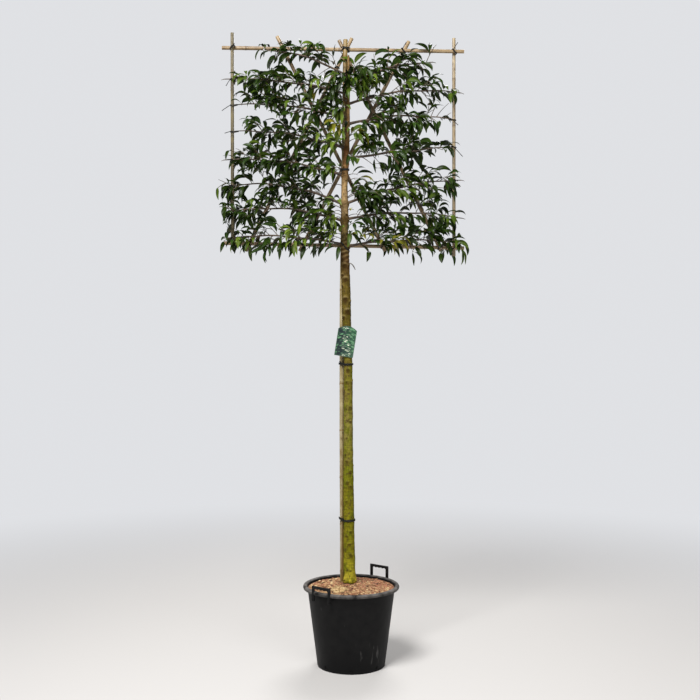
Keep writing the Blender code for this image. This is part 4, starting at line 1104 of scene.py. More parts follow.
def black_tube():
    """Soft black plastic tube with a dull bloom."""
    made, nodes, links, shader = start_material("tie_tube")
    place = nodes.new("ShaderNodeTexCoord").outputs["Object"]
    bloom = fine_noise(nodes, links, place, 180.0, 3.0)
    blacks = [(0.35, (0.005, 0.005, 0.004)), (0.70, (0.016, 0.015, 0.012))]
    links.new(colour_ramp(nodes, links, bloom, blacks), shader.inputs["Base Color"])
    shader.inputs["Roughness"].default_value = 0.60
    shader.inputs["Specular IOR Level"].default_value = 0.22
    add_bump(nodes, links, shader, bloom, 0.0003, 0.4)
    return made


TIE_TUBE = black_tube()


def hull(points):
    """The convex outline of flat points, anticlockwise."""
    points = sorted(set(points))

    def chain(ordered):
        kept = []
        for p in ordered:
            while len(kept) > 1:
                (ax, ay), (bx, by) = kept[-2], kept[-1]
                if (bx - ax) * (p[1] - ay) - (by - ay) * (p[0] - ax) > 1e-12:
                    break
                kept.pop()
            kept.append(p)
        return kept[:-1]

    return chain(points) + chain(points[::-1])


def belt(circles, tube_radius):
    """A line pulled round (u, v, radius) circles, at a tube's radius from them."""
    around = []
    for u, v, radius in circles:
        reach = radius + tube_radius + HAIR
        for k in range(TIE_SIDES):
            angle = 2 * math.pi * (k + 0.5) / TIE_SIDES
            around.append((u + reach * math.cos(angle), v + reach * math.sin(angle)))
    return hull(around)


def rod_section(start, end, radius, centre, across):
    """Circles that cover the slanting section of a rod by a tie's plane."""
    line = (end - start).normalized()
    normal = Vector((-across.z, 0.0, across.x))
    sine = line.dot(normal)
    spot = start + line * ((centre - start).dot(normal) / sine)
    along = (spot - centre).dot(across)
    stretch = radius * (1 / abs(sine) - 1)
    return [(along - stretch, spot.y, radius), (along + stretch, spot.y, radius)]


def tube_curve(lines, radius, name):
    """A mesh of smooth round tubes along the lines."""
    curve = bpy.data.curves.new(name, "CURVE")
    curve.dimensions = "3D"
    curve.bevel_depth = radius
    curve.bevel_resolution = 2
    curve.use_fill_caps = True
    curve.resolution_u = 3
    for line in lines:
        spline = curve.splines.new("NURBS")
        spline.points.add(len(line) - 1)
        spline.use_endpoint_u = True
        spline.order_u = 3
        for point, co in zip(spline.points, line):
            point.co = (*co, 1.0)
    item = bpy.data.objects.new(name, curve)
    bpy.context.scene.collection.objects.link(item)
    bpy.ops.object.select_all(action="DESELECT")
    item.select_set(True)
    bpy.context.view_layer.objects.active = item
    bpy.ops.object.convert(target="MESH")
    return bpy.context.object


def wound_lines(centre, across, circles, radius, knot_side, ends):
    """Lines of a tie: the winding, the knot's small loop and its loose ends."""
    outline = belt(circles, radius)
    knot = max(range(len(outline)), key=lambda i: Vector(outline[i]).dot(Vector(knot_side)))
    outline = outline[knot:] + outline[:knot]
    normal = Vector((-across.z, 0.0, across.x))
    count = len(outline)
    winding = []
    for k in range(TIE_TURNS * count + 1):
        u, v = outline[k % count]
        rise = (k / count - TIE_TURNS / 2) * 2.05 * radius
        winding.append(centre + across * u + Vector((0, v, 0)) + normal * rise)
    u, v = outline[0]
    out = (across * knot_side[0] + Vector((0, knot_side[1], 0))).normalized()
    head = centre + across * u + Vector((0, v, 0)) + out * radius * 1.6
    loop = []
    for k in range(9):
        angle = 2 * math.pi * k / 8
        loop.append(head + normal * math.cos(angle) * radius * 1.5 + out * math.sin(angle) * radius * 0.9)
    lines = [winding, loop]
    for reach in ends:
        end = Vector(reach)
        bend = head + end * 0.5 + out * radius * 1.5
        lines.append([head, head + out * radius, bend, head + end])
    return lines


def level_tie(height, circles, radius, knot_side, ends):
    """A winding in a level plane, round upright things."""
    return wound_lines(Vector((0, 0, height)), Vector((1, 0, 0)), circles, radius, knot_side, ends)


def frame_tie(centre, slant, held, ends):
    """A winding over crossing canes, in a plane at the slant in degrees to the horizontal."""
    slant = math.radians(slant)
    across = Vector((math.cos(slant), 0.0, math.sin(slant)))
    circles = []
    for start, end, radius in held:
        circles += rod_section(start, end, radius, centre, across)
    flat = Vector((centre.x, 0.0, centre.z))
    return wound_lines(flat, across, circles, THIN_TUBE, (0.3, -1.0), ends)


def held_rod(rod):
    """A straight cane, as a tie holds it."""
    return rod.start, rod.end, rod.radius * 1.02


def held_stem(x, y, height, radius):
    """A short upright stretch of the trunk or the long cane, as a tie holds it."""
    return Vector((x, y, height - 0.04)), Vector((x, y, height + 0.04)), radius


def tie_piece(name, lines, radius, replaced):
    """Makes and declares a tie."""
    finish_piece(tube_curve(lines, radius, name), name, [TIE_TUBE], replaced, 40)


for tie_name, tie_node, tie_height, tie_ends in TRUNK_TIES:
    x, y, radius = trunk_at(tie_height)
    tie_circles = [(x, y, radius + BARK_STAND), (upright_x(tie_height), UPRIGHT_Y, UPRIGHT_RADIUS)]
    tie_lines = level_tie(tie_height, tie_circles, THICK_TUBE, (-1.0, -0.6), tie_ends)
    tie_piece(tie_name, tie_lines, THICK_TUBE, [tie_node])

for level, side, slant, tie_ends in CORNER_TIES:
    rail, post = named[f"rail_{level}"], named[f"side_{side}"]
    centre = rail.point(rail.crossing(post))
    tie_lines = frame_tie(centre, slant, [held_rod(rail), held_rod(post)], tie_ends)
    tie_piece(f"{level}_{side}_tie", tie_lines, THIN_TUBE, [f"tie_{level}_{side}"])

# The top rail's middle tie holds the long cane and two braces, and a second winding crosses it.
rail = named["rail_top"]
centre = rail.point_at_x(upright_x(TOP_MIDDLE))
held_cane = held_stem(upright_x(centre.z), UPRIGHT_Y, centre.z, UPRIGHT_RADIUS)
held = [held_rod(rail), held_cane, held_rod(named["brace_right_in"]), held_rod(named["brace_left_in"])]
tie_lines = frame_tie(centre, 24, held, ((0.012, -0.004, -0.010),))
tie_lines += frame_tie(centre, -28, [held_rod(rail), held_cane], ())
tie_piece("top_middle_tie", tie_lines, THIN_TUBE, ["tie_top_middle"])

# The bottom rail's middle tie holds the long cane and the trunk.
rail = named["rail_bottom"]
centre = rail.point_at_x(upright_x(BOTTOM_MIDDLE))
x, y, _ = trunk_at(centre.z)
thickest = max(trunk_at(centre.z + reach)[2] for reach in (-0.03, 0.0, 0.03))
held_cane = held_stem(upright_x(centre.z), UPRIGHT_Y, centre.z, UPRIGHT_RADIUS)
held = [held_rod(rail), held_cane, held_stem(x, y, centre.z, thickest + 0.001)]
tie_lines = frame_tie(centre, 135, held, ((-0.012, -0.006, 0.010),))
tie_piece("bottom_middle_tie", tie_lines, THIN_TUBE, ["tie_bottom_middle"])

brace_tie_lines = []
for brace_name in ("brace_left_out", "brace_right_in", "brace_left_in", "brace_right_out"):
    brace = named[brace_name]
    slant = 45 if brace.end.x < brace.start.x else 135
    for rail_name, tie_end in BRACE_TIE_ENDS.items():
        rail = named[rail_name]
        centre = rail.point(rail.crossing(brace))
        if abs(centre.x - upright_x(centre.z)) > 0.04:
            brace_tie_lines += frame_tie(centre, slant, [held_rod(rail), held_rod(brace)], (tie_end,))
tie_piece("brace_ties", brace_tie_lines, THIN_TUBE, ())


# Plant label: a printed plastic card with an arched top, on a thin pale loop round stem and cane.
# Its print is a plain pattern of soft leaf shapes: dark blue-green, a cream sweep and bright green.
label_low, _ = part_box("label")
loop_low, loop_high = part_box("label_loop")
LABEL_WIDTH = 0.094
LABEL_HEIGHT = 0.153
LABEL_ARCH = 0.0185
LABEL_LEAN = math.radians(9)
LABEL_CENTRE = (-0.0265, 1.6137)
LABEL_BOW = 0.0036
CARD_THICKNESS = 0.0009
CARD_MARGIN = 0.97
LOOP_RADIUS = 0.0012
LOOP_SPREAD = 0.013
MARGIN_GREEN = linear(60, 84, 66)
GROUND_TONES = [(0.55, linear(22, 34, 36)), (0.95, linear(28, 68, 44))]
WIDE_LEAF_TONES = [(0.2, linear(34, 56, 46)), (0.8, linear(84, 126, 90))]
SLIM_LEAF_TONES = [(0.25, linear(44, 58, 56)), (0.60, linear(112, 128, 106)), (0.92, linear(206, 212, 186))]
LOOP_TONES = [(0.3, linear(190, 206, 184)), (0.7, linear(226, 234, 216))]


def leafy_print(nodes, links, card_uv, turn, scale, sharp):
    """Slim leaf-shaped cells, turned one way: how deep a place lies in its leaf, and the leaf's tone."""
    turned = nodes.new("ShaderNodeMapping")
    turned.inputs["Rotation"].default_value = (0, 0, turn)
    turned.inputs["Scale"].default_value = (scale, scale * 3.2, 1)
    links.new(card_uv, turned.inputs["Vector"])
    cells = nodes.new("ShaderNodeTexVoronoi")
    cells.inputs["Scale"].default_value = 1.0
    links.new(turned.outputs["Vector"], cells.inputs["Vector"])
    inside = grey_ramp(nodes, links, cells.outputs["Distance"], sharp, sharp - 0.22)
    apart = nodes.new("ShaderNodeSeparateColor")
    links.new(cells.outputs["Color"], apart.inputs["Color"])
    return inside, apart.outputs["Red"]


def printed_card():
    """A glossy card whose print is a plain tangle of leaves, dark on the left and bright on the right."""
    made, nodes, links, shader = start_material("label_print")
    card_map = nodes.new("ShaderNodeUVMap")
    card_map.uv_map = "card"
    card_uv = card_map.outputs["UV"]
    apart = nodes.new("ShaderNodeSeparateXYZ")
    links.new(card_uv, apart.inputs["Vector"])
    slope = calculate(nodes, links, "MULTIPLY_ADD", apart.outputs["Y"], 0.20, apart.outputs["X"])
    waver = fine_noise(nodes, links, card_uv, 3.0, 2.0)
    sweep = calculate(nodes, links, "MULTIPLY_ADD", waver, 0.30, slope)
    ground = colour_ramp(nodes, links, sweep, GROUND_TONES)
    wide, wide_tone = leafy_print(nodes, links, card_uv, 0.95, 4.6, 0.60)
    wide_leaves = colour_ramp(nodes, links, wide_tone, WIDE_LEAF_TONES)
    lower = mix_colours(nodes, links, wide, ground, wide_leaves)
    slim, slim_tone = leafy_print(nodes, links, card_uv, -0.95, 6.4, 0.56)
    slim_leaves = colour_ramp(nodes, links, slim_tone, SLIM_LEAF_TONES)
    right_of = grey_ramp(nodes, links, sweep, 0.48, 0.70, smooth=True)
    left_of = grey_ramp(nodes, links, sweep, 1.08, 0.86, smooth=True)
    band = calculate(nodes, links, "MULTIPLY", right_of, left_of)
    tangle = mix_colours(nodes, links, calculate(nodes, links, "MULTIPLY", slim, band), lower, slim_leaves)
    edged = mix_colours(nodes, links, attribute(nodes, "margin"), tangle, MARGIN_GREEN)
    links.new(edged, shader.inputs["Base Color"])
    shader.inputs["Roughness"].default_value = 0.30
    return made


def loop_plastic():
    """Pale, slightly milky plastic thread."""
    made, nodes, links, shader = start_material("label_loop_plastic")
    place = nodes.new("ShaderNodeTexCoord").outputs["Object"]
    cloud = fine_noise(nodes, links, place, 90.0, 2.0)
    links.new(colour_ramp(nodes, links, cloud, LOOP_TONES), shader.inputs["Base Color"])
    shader.inputs["Roughness"].default_value = 0.4
    return made


bpy.ops.mesh.primitive_grid_add(x_subdivisions=20, y_subdivisions=28, size=1)
card = bpy.context.object
card.data.uv_layers.active.name = "card"
margin = card.data.attributes.new("margin", "FLOAT", "POINT")
for index, vertex in enumerate(card.data.vertices):
    across, up = 2 * vertex.co.x, 2 * vertex.co.y
    margin.data[index].value = 1.0 if max(abs(across), abs(up)) > CARD_MARGIN else 0.0
    lift = (up + 1) / 2
    height = LABEL_HEIGHT - LABEL_ARCH * across**2
    bow = LABEL_BOW * (1 - across**2) * (1 - lift**2)
    vertex.co = (across * LABEL_WIDTH / 2, lift * height - LABEL_HEIGHT / 2, bow)
thickness = card.modifiers.new("thickness", "SOLIDIFY")
thickness.thickness = CARD_THICKNESS
thickness.offset = 1
bpy.ops.object.modifier_apply(modifier="thickness")
lean = Matrix.Rotation(LABEL_LEAN, 4, "Y") @ Matrix.Rotation(math.pi / 2, 4, "X")
card.matrix_world = Matrix.Translation((LABEL_CENTRE[0], label_low.y + 0.0002, LABEL_CENTRE[1])) @ lean
bpy.ops.object.transform_apply(location=True, rotation=True)
finish_piece(card, "plant_label", [printed_card()], ["label"], 30)

loop_height = (loop_low.z + loop_high.z) / 2
loop_front = loop_low.y + LOOP_RADIUS
x, y, radius = trunk_at(loop_height)
loop_circles = [(x, y, radius + BARK_STAND), (upright_x(loop_height), UPRIGHT_Y, UPRIGHT_RADIUS)]
loop_outline = belt(loop_circles, LOOP_RADIUS)
loop_outline = hull(loop_outline + [(x - LOOP_SPREAD, loop_front), (x + LOOP_SPREAD, loop_front)])
loop_line = [Vector((u, v, loop_height)) for u, v in loop_outline]
label_loop = tube_curve([loop_line + loop_line[:2]], LOOP_RADIUS, "label_hanging_loop")
finish_piece(label_loop, "label_hanging_loop", [loop_plastic()], ["label_loop"], 40)


# Branches: young grey-brown wood, trained sideways in tiers and tied to the side canes.
# Each carries short shoots that leave it at a slant, bend down under their leaves, and end in a tuft.
# Shorter shoots spring from the trunk between the tiers.
CROWN_TOP = 3.108
CROWN_BOTTOM = 1.985
CROWN_FRONT = -0.125
CROWN_BACK = 0.185
CROWN_TIP_ROOM = 0.035
TIER_KNEE = 0.33
BRANCH_END_Y = {"left": 0.0205, "right": 0.0540}
SPACE_OVERLAP = 0.028
BRANCH_FOOT = 0.0072
BRANCH_TIP = 0.0024
BARE_FOOT = 0.024
SHOOT_LONGEST = 0.125
SHOOT_SHORTEST = 0.045
SHOOT_FOOT = 0.0022
SHOOT_TIP = 0.0010
SIDE_SHOOT = (0.040, 0.075)
TRUNK_SHOOTS = 34
TRUNK_SHOOTS_FROM = 2.09
TRUNK_SHOOTS_OVER = 0.90
HANGING_SHOOT = 2.004
TRUNK_SHOOT = (0.050, 0.115)
# Short shoots on the front of the trunk: height, lean to the right, length and tone.
FRONT_SHOOTS = (
    (2.930, -1.0, 0.070, "mid"), (2.925, 0.7, 0.080, "dark"), (2.918, 0.0, 0.060, "deep"),
    (2.910, -0.5, 0.085, "dark"), (2.903, 0.4, 0.090, "mid"), (2.895, -0.2, 0.065, "dark"),
    (2.888, 1.2, 0.085, "mid"), (2.880, -0.9, 0.090, "dark"), (2.872, 0.2, 0.075, "deep"),
    (2.864, 0.9, 0.080, "mid"), (2.856, -1.3, 0.080, "dark"), (2.690, -1.0, 0.080, "yellow"),
    (2.660, -0.5, 0.055, "fresh"), (2.635, 0.9, 0.085, "yellow"), (2.600, -1.2, 0.080, "fresh"),
    (2.470, -1.3, 0.070, "mid"), (2.300, -1.2, 0.070, "fresh"), (2.266, 1.2, 0.045, "yellow"),
    (2.240, -1.3, 0.080, "mid"), (2.150, 0.5, 0.060, "mid"), (2.140, -0.9, 0.080, "fresh"),
)
LEAF_EVERY = 0.0262
GOLDEN_TURN = math.radians(137.5)
LEAF_TONES = ("dark", "deep", "mid", "fresh", "yellow")

# Open places where the sky shows through the crown: middle across, middle height, half width, half height.
SKY_GAPS = (
    # At the left side.
    (-0.515, 3.025, 0.080, 0.075), (-0.600, 3.020, 0.080, 0.055), (-0.645, 2.975, 0.055, 0.036),
    (-0.645, 2.900, 0.045, 0.045), (-0.545, 2.885, 0.038, 0.030), (-0.560, 2.820, 0.028, 0.030),
    (-0.530, 2.770, 0.045, 0.034), (-0.615, 2.715, 0.060, 0.155), (-0.560, 2.655, 0.035, 0.060),
    (-0.500, 2.645, 0.035, 0.026), (-0.640, 2.562, 0.030, 0.034), (-0.650, 2.500, 0.040, 0.050),
    (-0.500, 2.370, 0.040, 0.050), (-0.668, 2.200, 0.040, 0.110), (-0.645, 2.055, 0.055, 0.045),
    # In the left half.
    (-0.400, 3.105, 0.060, 0.022), (-0.215, 3.040, 0.035, 0.018), (-0.345, 3.018, 0.035, 0.024),
    (-0.195, 3.002, 0.095, 0.034), (-0.412, 2.995, 0.060, 0.036), (-0.270, 2.868, 0.028, 0.024),
    (-0.445, 2.757, 0.068, 0.028), (-0.405, 2.718, 0.030, 0.018), (-0.460, 2.430, 0.050, 0.028),
    (-0.090, 2.385, 0.075, 0.040), (-0.065, 2.270, 0.030, 0.080), (-0.390, 2.270, 0.042, 0.026),
    (-0.330, 2.258, 0.035, 0.025), (-0.408, 2.152, 0.048, 0.032), (-0.385, 2.035, 0.040, 0.020),
    # In the right half.
    (0.090, 3.045, 0.045, 0.022), (0.385, 3.030, 0.055, 0.038), (0.235, 2.885, 0.030, 0.032),
    (0.160, 2.880, 0.050, 0.034), (0.385, 2.860, 0.040, 0.022), (0.375, 2.790, 0.050, 0.020),
    (0.300, 2.782, 0.038, 0.026), (0.060, 2.755, 0.035, 0.035), (0.415, 2.745, 0.050, 0.030),
    (0.400, 2.648, 0.075, 0.030), (0.418, 2.535, 0.058, 0.042), (0.145, 2.530, 0.030, 0.024),
    (0.075, 2.515, 0.050, 0.042), (0.044, 2.452, 0.026, 0.026), (0.445, 2.400, 0.035, 0.035),
    (0.225, 2.275, 0.035, 0.030), (0.320, 2.260, 0.040, 0.030), (0.030, 2.240, 0.025, 0.050),
    (0.240, 2.055, 0.050, 0.018), (0.140, 2.050, 0.035, 0.022),
    # At the right side.
    (0.470, 3.010, 0.060, 0.085), (0.480, 2.925, 0.030, 0.040), (0.560, 2.905, 0.045, 0.060),
    (0.465, 2.840, 0.035, 0.030), (0.470, 2.790, 0.035, 0.045), (0.545, 2.740, 0.045, 0.110),
    (0.480, 2.690, 0.040, 0.045), (0.550, 2.520, 0.055, 0.080), (0.480, 2.515, 0.035, 0.050),
    (0.464, 2.470, 0.040, 0.034), (0.565, 2.360, 0.045, 0.085), (0.505, 2.308, 0.028, 0.034),
    (0.552, 2.285, 0.030, 0.036), (0.575, 2.190, 0.050, 0.110),
)


class Tier:
    """One trained side branch: its line, and the space that its leaves keep to."""

    def __init__(self, side, number, foot, knee, end, reach, shoots):
        self.side = side
        self.number = number
        self.sign = -1 if side == "left" else 1
        self.heights = (foot, knee, end)
        self.reach = reach
        self.shoots = shoots
        self.foot_x, self.foot_y, self.foot_radius = trunk_at(foot)
        self.span = abs((LEFT_SIDE_X if side == "left" else RIGHT_SIDE_X) - self.foot_x)
        self.above = None
        self.below = None

    def height(self, share):
        """Height of the branch line at a share of the way to the side cane. Takes numbers or arrays."""
        share = np.clip(share, 0.0, 1.04)
        foot, knee, end = self.heights
        at_foot = (share - TIER_KNEE) * (share - 1) / TIER_KNEE
        at_knee = share * (share - 1) / (TIER_KNEE * (TIER_KNEE - 1))
        at_end = share * (share - TIER_KNEE) / (1 - TIER_KNEE)
        return foot * at_foot + knee * at_knee + end * at_end

    def share_of(self, x):
        """How far out a place lies, as a share of the way from the trunk to the side cane."""
        return self.sign * (x - self.foot_x) / self.span

    def point(self, share):
        """The place on the branch line at a share of the way."""
        depth = self.foot_y + (BRANCH_END_Y[self.side] - self.foot_y) * share**2
        return Vector((self.foot_x + self.sign * self.span * share, depth, float(self.height(share))))

    def holds(self, points):
        """For an array of points, whether each lies in this tier's own space."""
        x, y, z = points[..., 0], points[..., 1], points[..., 2]
        share = self.share_of(x)
        own = self.height(share)
        top, bottom = CROWN_TOP, CROWN_BOTTOM
        if self.above:
            top = (own + self.above.height(self.above.share_of(x))) / 2 + SPACE_OVERLAP
        if self.below:
            bottom = (own + self.below.height(self.below.share_of(x))) / 2 - SPACE_OVERLAP
        within = (z < np.minimum(top, CROWN_TOP)) & (z > np.maximum(bottom, CROWN_BOTTOM))
        within &= (y > CROWN_FRONT) & (y < CROWN_BACK)
        return within & (share * self.span < self.span * self.reach + CROWN_TIP_ROOM)


def make_tiers():
    """All side branches, each told which ones lie above and below it."""
    tiers = []
    for side in ("left", "right"):
        rows = [row for row in TIERS if row[0] == side]
        own = [Tier(side, k + 1, *row[1:]) for k, row in enumerate(rows)]
        for lower, upper in zip(own, own[1:]):
            lower.above = upper
            upper.below = lower
        tiers += own
    return tiers


def in_sky_gap(points):
    """For an array of points, whether each lies in one of the crown's open places."""
    x, z = points[..., 0], points[..., 2]
    inside = np.zeros(x.shape, dtype=bool)
    for middle, height, half_width, half_height in SKY_GAPS:
        inside |= ((x - middle) / half_width) ** 2 + ((z - height) / half_height) ** 2 < 1
    return inside


class Solids:
    """Canes and trunk as rods with a radius, for keeping shoots and leaves off them."""

    def __init__(self):
        starts, ends, radii = [], [], []
        for rod in rods:
            starts.append(rod.start)
            ends.append(rod.end)
            radii.append(rod.radius * 1.1)
        for low in np.arange(1.8, 3.0, 0.1):
            high = min(low + 0.1, trunk_high.z)
            starts += [Vector((*trunk_at(low)[:2], low)), Vector((upright_x(low), UPRIGHT_Y, low))]
            ends += [Vector((*trunk_at(high)[:2], high)), Vector((upright_x(high), UPRIGHT_Y, high))]
            radii += [trunk_at(low)[2], UPRIGHT_RADIUS * 1.1]
        self.starts = np.array(starts)
        self.lines = np.array(ends) - self.starts
        self.squares = (self.lines**2).sum(axis=1)
        self.radii = np.array(radii)

    def clear(self, points, clearance):
        """For an array of points, whether each is further than the clearance from every rod."""
        gap = points[..., None, :] - self.starts
        share = np.clip((gap * self.lines).sum(axis=-1) / self.squares, 0.0, 1.0)
        away = np.linalg.norm(gap - share[..., None] * self.lines, axis=-1)
        return (away > self.radii + clearance).all(axis=-1)


def round_the(axis, angle):
    """A unit vector square to the axis, turned round it from straight up."""
    up = Vector((0.0, 0.0, 1.0))
    square = up - axis * up.dot(axis)
    if square.length < 0.1:
        square = Vector((1.0, 0.0, 0.0)) - axis * axis.x
    return Matrix.Rotation(angle, 3, axis) @ square.normalized()


def drooping_line(root, way, length, droop, steps=5):
    """Points of a shoot that leaves in one direction and bends down by the droop."""
    points = [root]
    for k in range(steps):
        heading = (way - Vector((0, 0, droop * (k + 0.5) / steps))).normalized()
        points.append(points[-1] + heading * length / steps)
    return points


class Twigs:
    """Round tapering limbs, gathered into one mesh."""

    def __init__(self):
        self.corners, self.faces = [], []

    def add(self, points, radii, sides):
        """Adds a limb through the points, with a radius at each and closed ends."""
        first = len(self.corners)
        for k, (point, radius) in enumerate(zip(points, radii)):
            axis = (points[min(k + 1, len(points) - 1)] - points[max(k - 1, 0)]).normalized()
            right = round_the(axis, 0.0)
            up = axis.cross(right)
            for j in range(sides):
                angle = 2 * math.pi * j / sides
                self.corners.append(point + (right * math.cos(angle) + up * math.sin(angle)) * radius)
        for k in range(len(points) - 1):
            for j in range(sides):
                a, b = first + k * sides + j, first + k * sides + (j + 1) % sides
                self.faces.append((a, b, b + sides, a + sides))
        last = first + (len(points) - 1) * sides
        self.faces.append(tuple(first + j for j in reversed(range(sides))))
        self.faces.append(tuple(last + j for j in range(sides)))

    def add_shoot(self, points):
        """Adds a shoot that thins evenly to its tip."""
        steps = len(points) - 1
        self.add(points, [SHOOT_FOOT + (SHOOT_TIP - SHOOT_FOOT) * j / steps for j in range(steps + 1)], 6)


class Spray:
    """One shoot's leaves: where each leaves its twig, which way, and the spray's tone."""

    def __init__(self, tier, tone):
        self.tier = tier
        self.tone = tone
        self.leaves = []


def spray_tone(x, chance):
    """The tone of a spray: mostly dark, with fresh and yellowing ones nearer to the trunk."""
    near = max(0.0, 1 - abs(x + 0.03) / 0.26)
    weights = (0.54, 0.24, 0.18, 0.01 + 0.12 * near, 0.06 * near)
    return chance.choices(LEAF_TONES, weights)[0]


def leaf_spray(tier, chance, points, radius, turn, tone, first, spacing, tuft):
    """Leaves set spirally along a shoot, closer at its tip."""
    spray = Spray(tier, tone)
    lengths = [(b - a).length for a, b in zip(points, points[1:])]
    whole = sum(lengths)
    places, along = [], first
    while along < whole - 0.006:
        places.append(along)
        along += spacing * chance.uniform(0.8, 1.25)
    places += [whole - 0.0045 * (k % 3) for k in range(tuft)]
    for k, along in enumerate(places):
        rest = along
        for a, b, length in zip(points, points[1:], lengths):
            if rest <= length:
                break
            rest -= length
        axis = (b - a).normalized()
        root = a.lerp(b, min(rest / length, 1))
        outward = round_the(axis, turn + GOLDEN_TURN * k + chance.uniform(-0.4, 0.4))
        at_tip = along > whole - 0.012
        way = axis * (1.0 if at_tip else 0.80) + outward * (0.60 if at_tip else 0.75)
        way.z += chance.uniform(-0.05, 0.50)
        spray.leaves.append((root + outward * radius, way.normalized(), chance.random()))
    return spray


def shoot_that_fits(tier, root, axis, turn, chance, longest, shortest):
    """The first of several directions in which a shoot stays in its tier's space and off the canes."""
    for attempt in range(7):
        sideways = round_the(axis, turn + attempt * 1.1)
        length = chance.uniform(shortest, longest) * (1 - 0.11 * attempt)
        way = (axis * chance.uniform(0.3, 1.1) + sideways * 0.95 + Vector((0, 0, 0.20))).normalized()
        points = drooping_line(root, way, length, chance.uniform(0.1, 0.6))
        track = np.array([tuple(p) for p in points[1:]])
        fits = tier.holds(track).all() and solids.clear(track, 0.003).all()
        if fits and not in_sky_gap(track[-1:]).any():
            return points
    return None


def grow_tier(tier):
    """The branch with its shoots, and a place for every leaf."""
    chance = random.Random(1000 * tier.number + (7 if tier.side == "left" else 0))
    bare = (tier.foot_radius + BARE_FOOT) / tier.span
    steps = 26
    start = 0.15 * tier.foot_radius / tier.span
    line, radii = [], []
    phase = chance.uniform(0, 6)
    for k in range(steps + 1):
        share = start + (tier.reach - start) * k / steps
        point = tier.point(share)
        sway = 0.0030 * min(1.0, 4 * share) * min(1.0, 6 * abs(share - 1.0))
        point.z += sway * math.sin(14 * share + phase)
        line.append(point)
        size = BRANCH_FOOT + (BRANCH_TIP - BRANCH_FOOT) * (k / steps) ** 0.8
        radii.append(min(size, 0.62 * tier.foot_radius + 0.001) + 0.0012 * max(0.0, 1 - k / 2))
    branches.add(line, radii, 12)

    def line_at(share):
        """The place on the swaying branch at a share of the way."""
        place = (share - start) / (tier.reach - start) * steps
        low = int(min(max(place, 0), steps - 1))
        return line[low].lerp(line[low + 1], min(max(place - low, 0), 1))

    for k in range(tier.shoots):
        share = bare + (tier.reach - bare) * (k + chance.uniform(0.2, 0.8)) / tier.shoots
        root = line_at(share)
        axis = (tier.point(share + 0.02) - tier.point(share - 0.02)).normalized()
        turn = GOLDEN_TURN * k + chance.uniform(-0.5, 0.5)
        points = shoot_that_fits(tier, root, axis, turn, chance, SHOOT_LONGEST, SHOOT_SHORTEST)
        if not points:
            continue
        tone = spray_tone(root.x, chance)
        shoots.add_shoot(points)
        sprays.append(leaf_spray(tier, chance, points, SHOOT_TIP, turn, tone, 0.014, LEAF_EVERY, 3))
        if (points[-1] - root).length > 0.07:
            fork, ahead = points[2], (points[3] - points[2]).normalized()
            side = shoot_that_fits(tier, fork, ahead, turn + 2.0, chance, SIDE_SHOOT[1], SIDE_SHOOT[0])
            if side:
                shoots.add_shoot(side)
                sprays.append(leaf_spray(tier, chance, side, SHOOT_TIP, turn + 2, tone, 0.012, LEAF_EVERY, 3))
    end = tier.point(tier.reach) - tier.point(tier.reach - 0.05)
    last = drooping_line(line[-1], end.normalized(), 0.020, 0.5, 3)
    shoots.add(last, [BRANCH_TIP, 0.0018, 0.0014, 0.0011], 6)
    sprays.append(leaf_spray(tier, chance, last, SHOOT_TIP, 1.0, "dark", 0.003, 0.007, 4))
    stretch = [line_at(bare + (tier.reach - bare) * j / 20) for j in range(21)]
    sprays.append(leaf_spray(tier, chance, stretch, BRANCH_TIP + 0.001, 0.5, "dark", 0.01, 0.022, 2))


def grow_from_trunk():
    """Short shoots between the tiers, and one that hangs under the crown on the right."""
    chance = random.Random(31)
    for k in range(TRUNK_SHOOTS):
        height = TRUNK_SHOOTS_FROM + TRUNK_SHOOTS_OVER * (k + chance.random()) / TRUNK_SHOOTS
        x, y, radius = trunk_at(height)
        angle = chance.choice((math.pi, 0.0)) + chance.uniform(-1.1, 1.1)
        out = Vector((math.cos(angle), math.sin(angle) - 0.25, 0.0)).normalized()
        side = "left" if out.x < 0 else "right"
        tier = min((t for t in tiers if t.side == side), key=lambda t: abs(t.heights[0] - height))
        root = Vector((x, y, height)) + out * radius * 0.9
        way = (out + Vector((0, 0, chance.uniform(0.3, 0.9)))).normalized()
        points = drooping_line(root, way, chance.uniform(*TRUNK_SHOOT), chance.uniform(0.6, 1.3))
        track = np.array([tuple(p) for p in points[2:]])
        if not (tier.holds(track).all() and solids.clear(track, 0.002).all()):
            continue
        shoots.add_shoot(points)
        tone = spray_tone(root.x, chance)
        sprays.append(leaf_spray(tier, chance, points, SHOOT_TIP, angle, tone, 0.025, 0.012, 3))
    for height, lean, length, tone in FRONT_SHOOTS:
        x, y, radius = trunk_at(height)
        out = Vector((lean, -1.0, 0.0)).normalized()
        root = Vector((x, y, height)) + out * radius * 0.9
        points = drooping_line(root, (out + Vector((0, 0, 0.5))).normalized(), length, 0.9)
        shoots.add_shoot(points)
        sprays.append(leaf_spray(None, chance, points, SHOOT_TIP, lean, tone, 0.020, 0.012, 3))
    x, y, radius = trunk_at(HANGING_SHOOT)
    root = Vector((x + 0.75 * radius, y - 0.6 * radius, HANGING_SHOOT))
    points = drooping_line(root, Vector((0.9, -0.3, 0.10)).normalized(), 0.054, 2.6)
    shoots.add(points, [0.0018, 0.0022, 0.0026, 0.0028, 0.0024, 0.0012], 6)


tiers = make_tiers()
solids = Solids()
branches, shoots = Twigs(), Twigs()
sprays = []
for tier in tiers:
    grow_tier(tier)
grow_from_trunk()


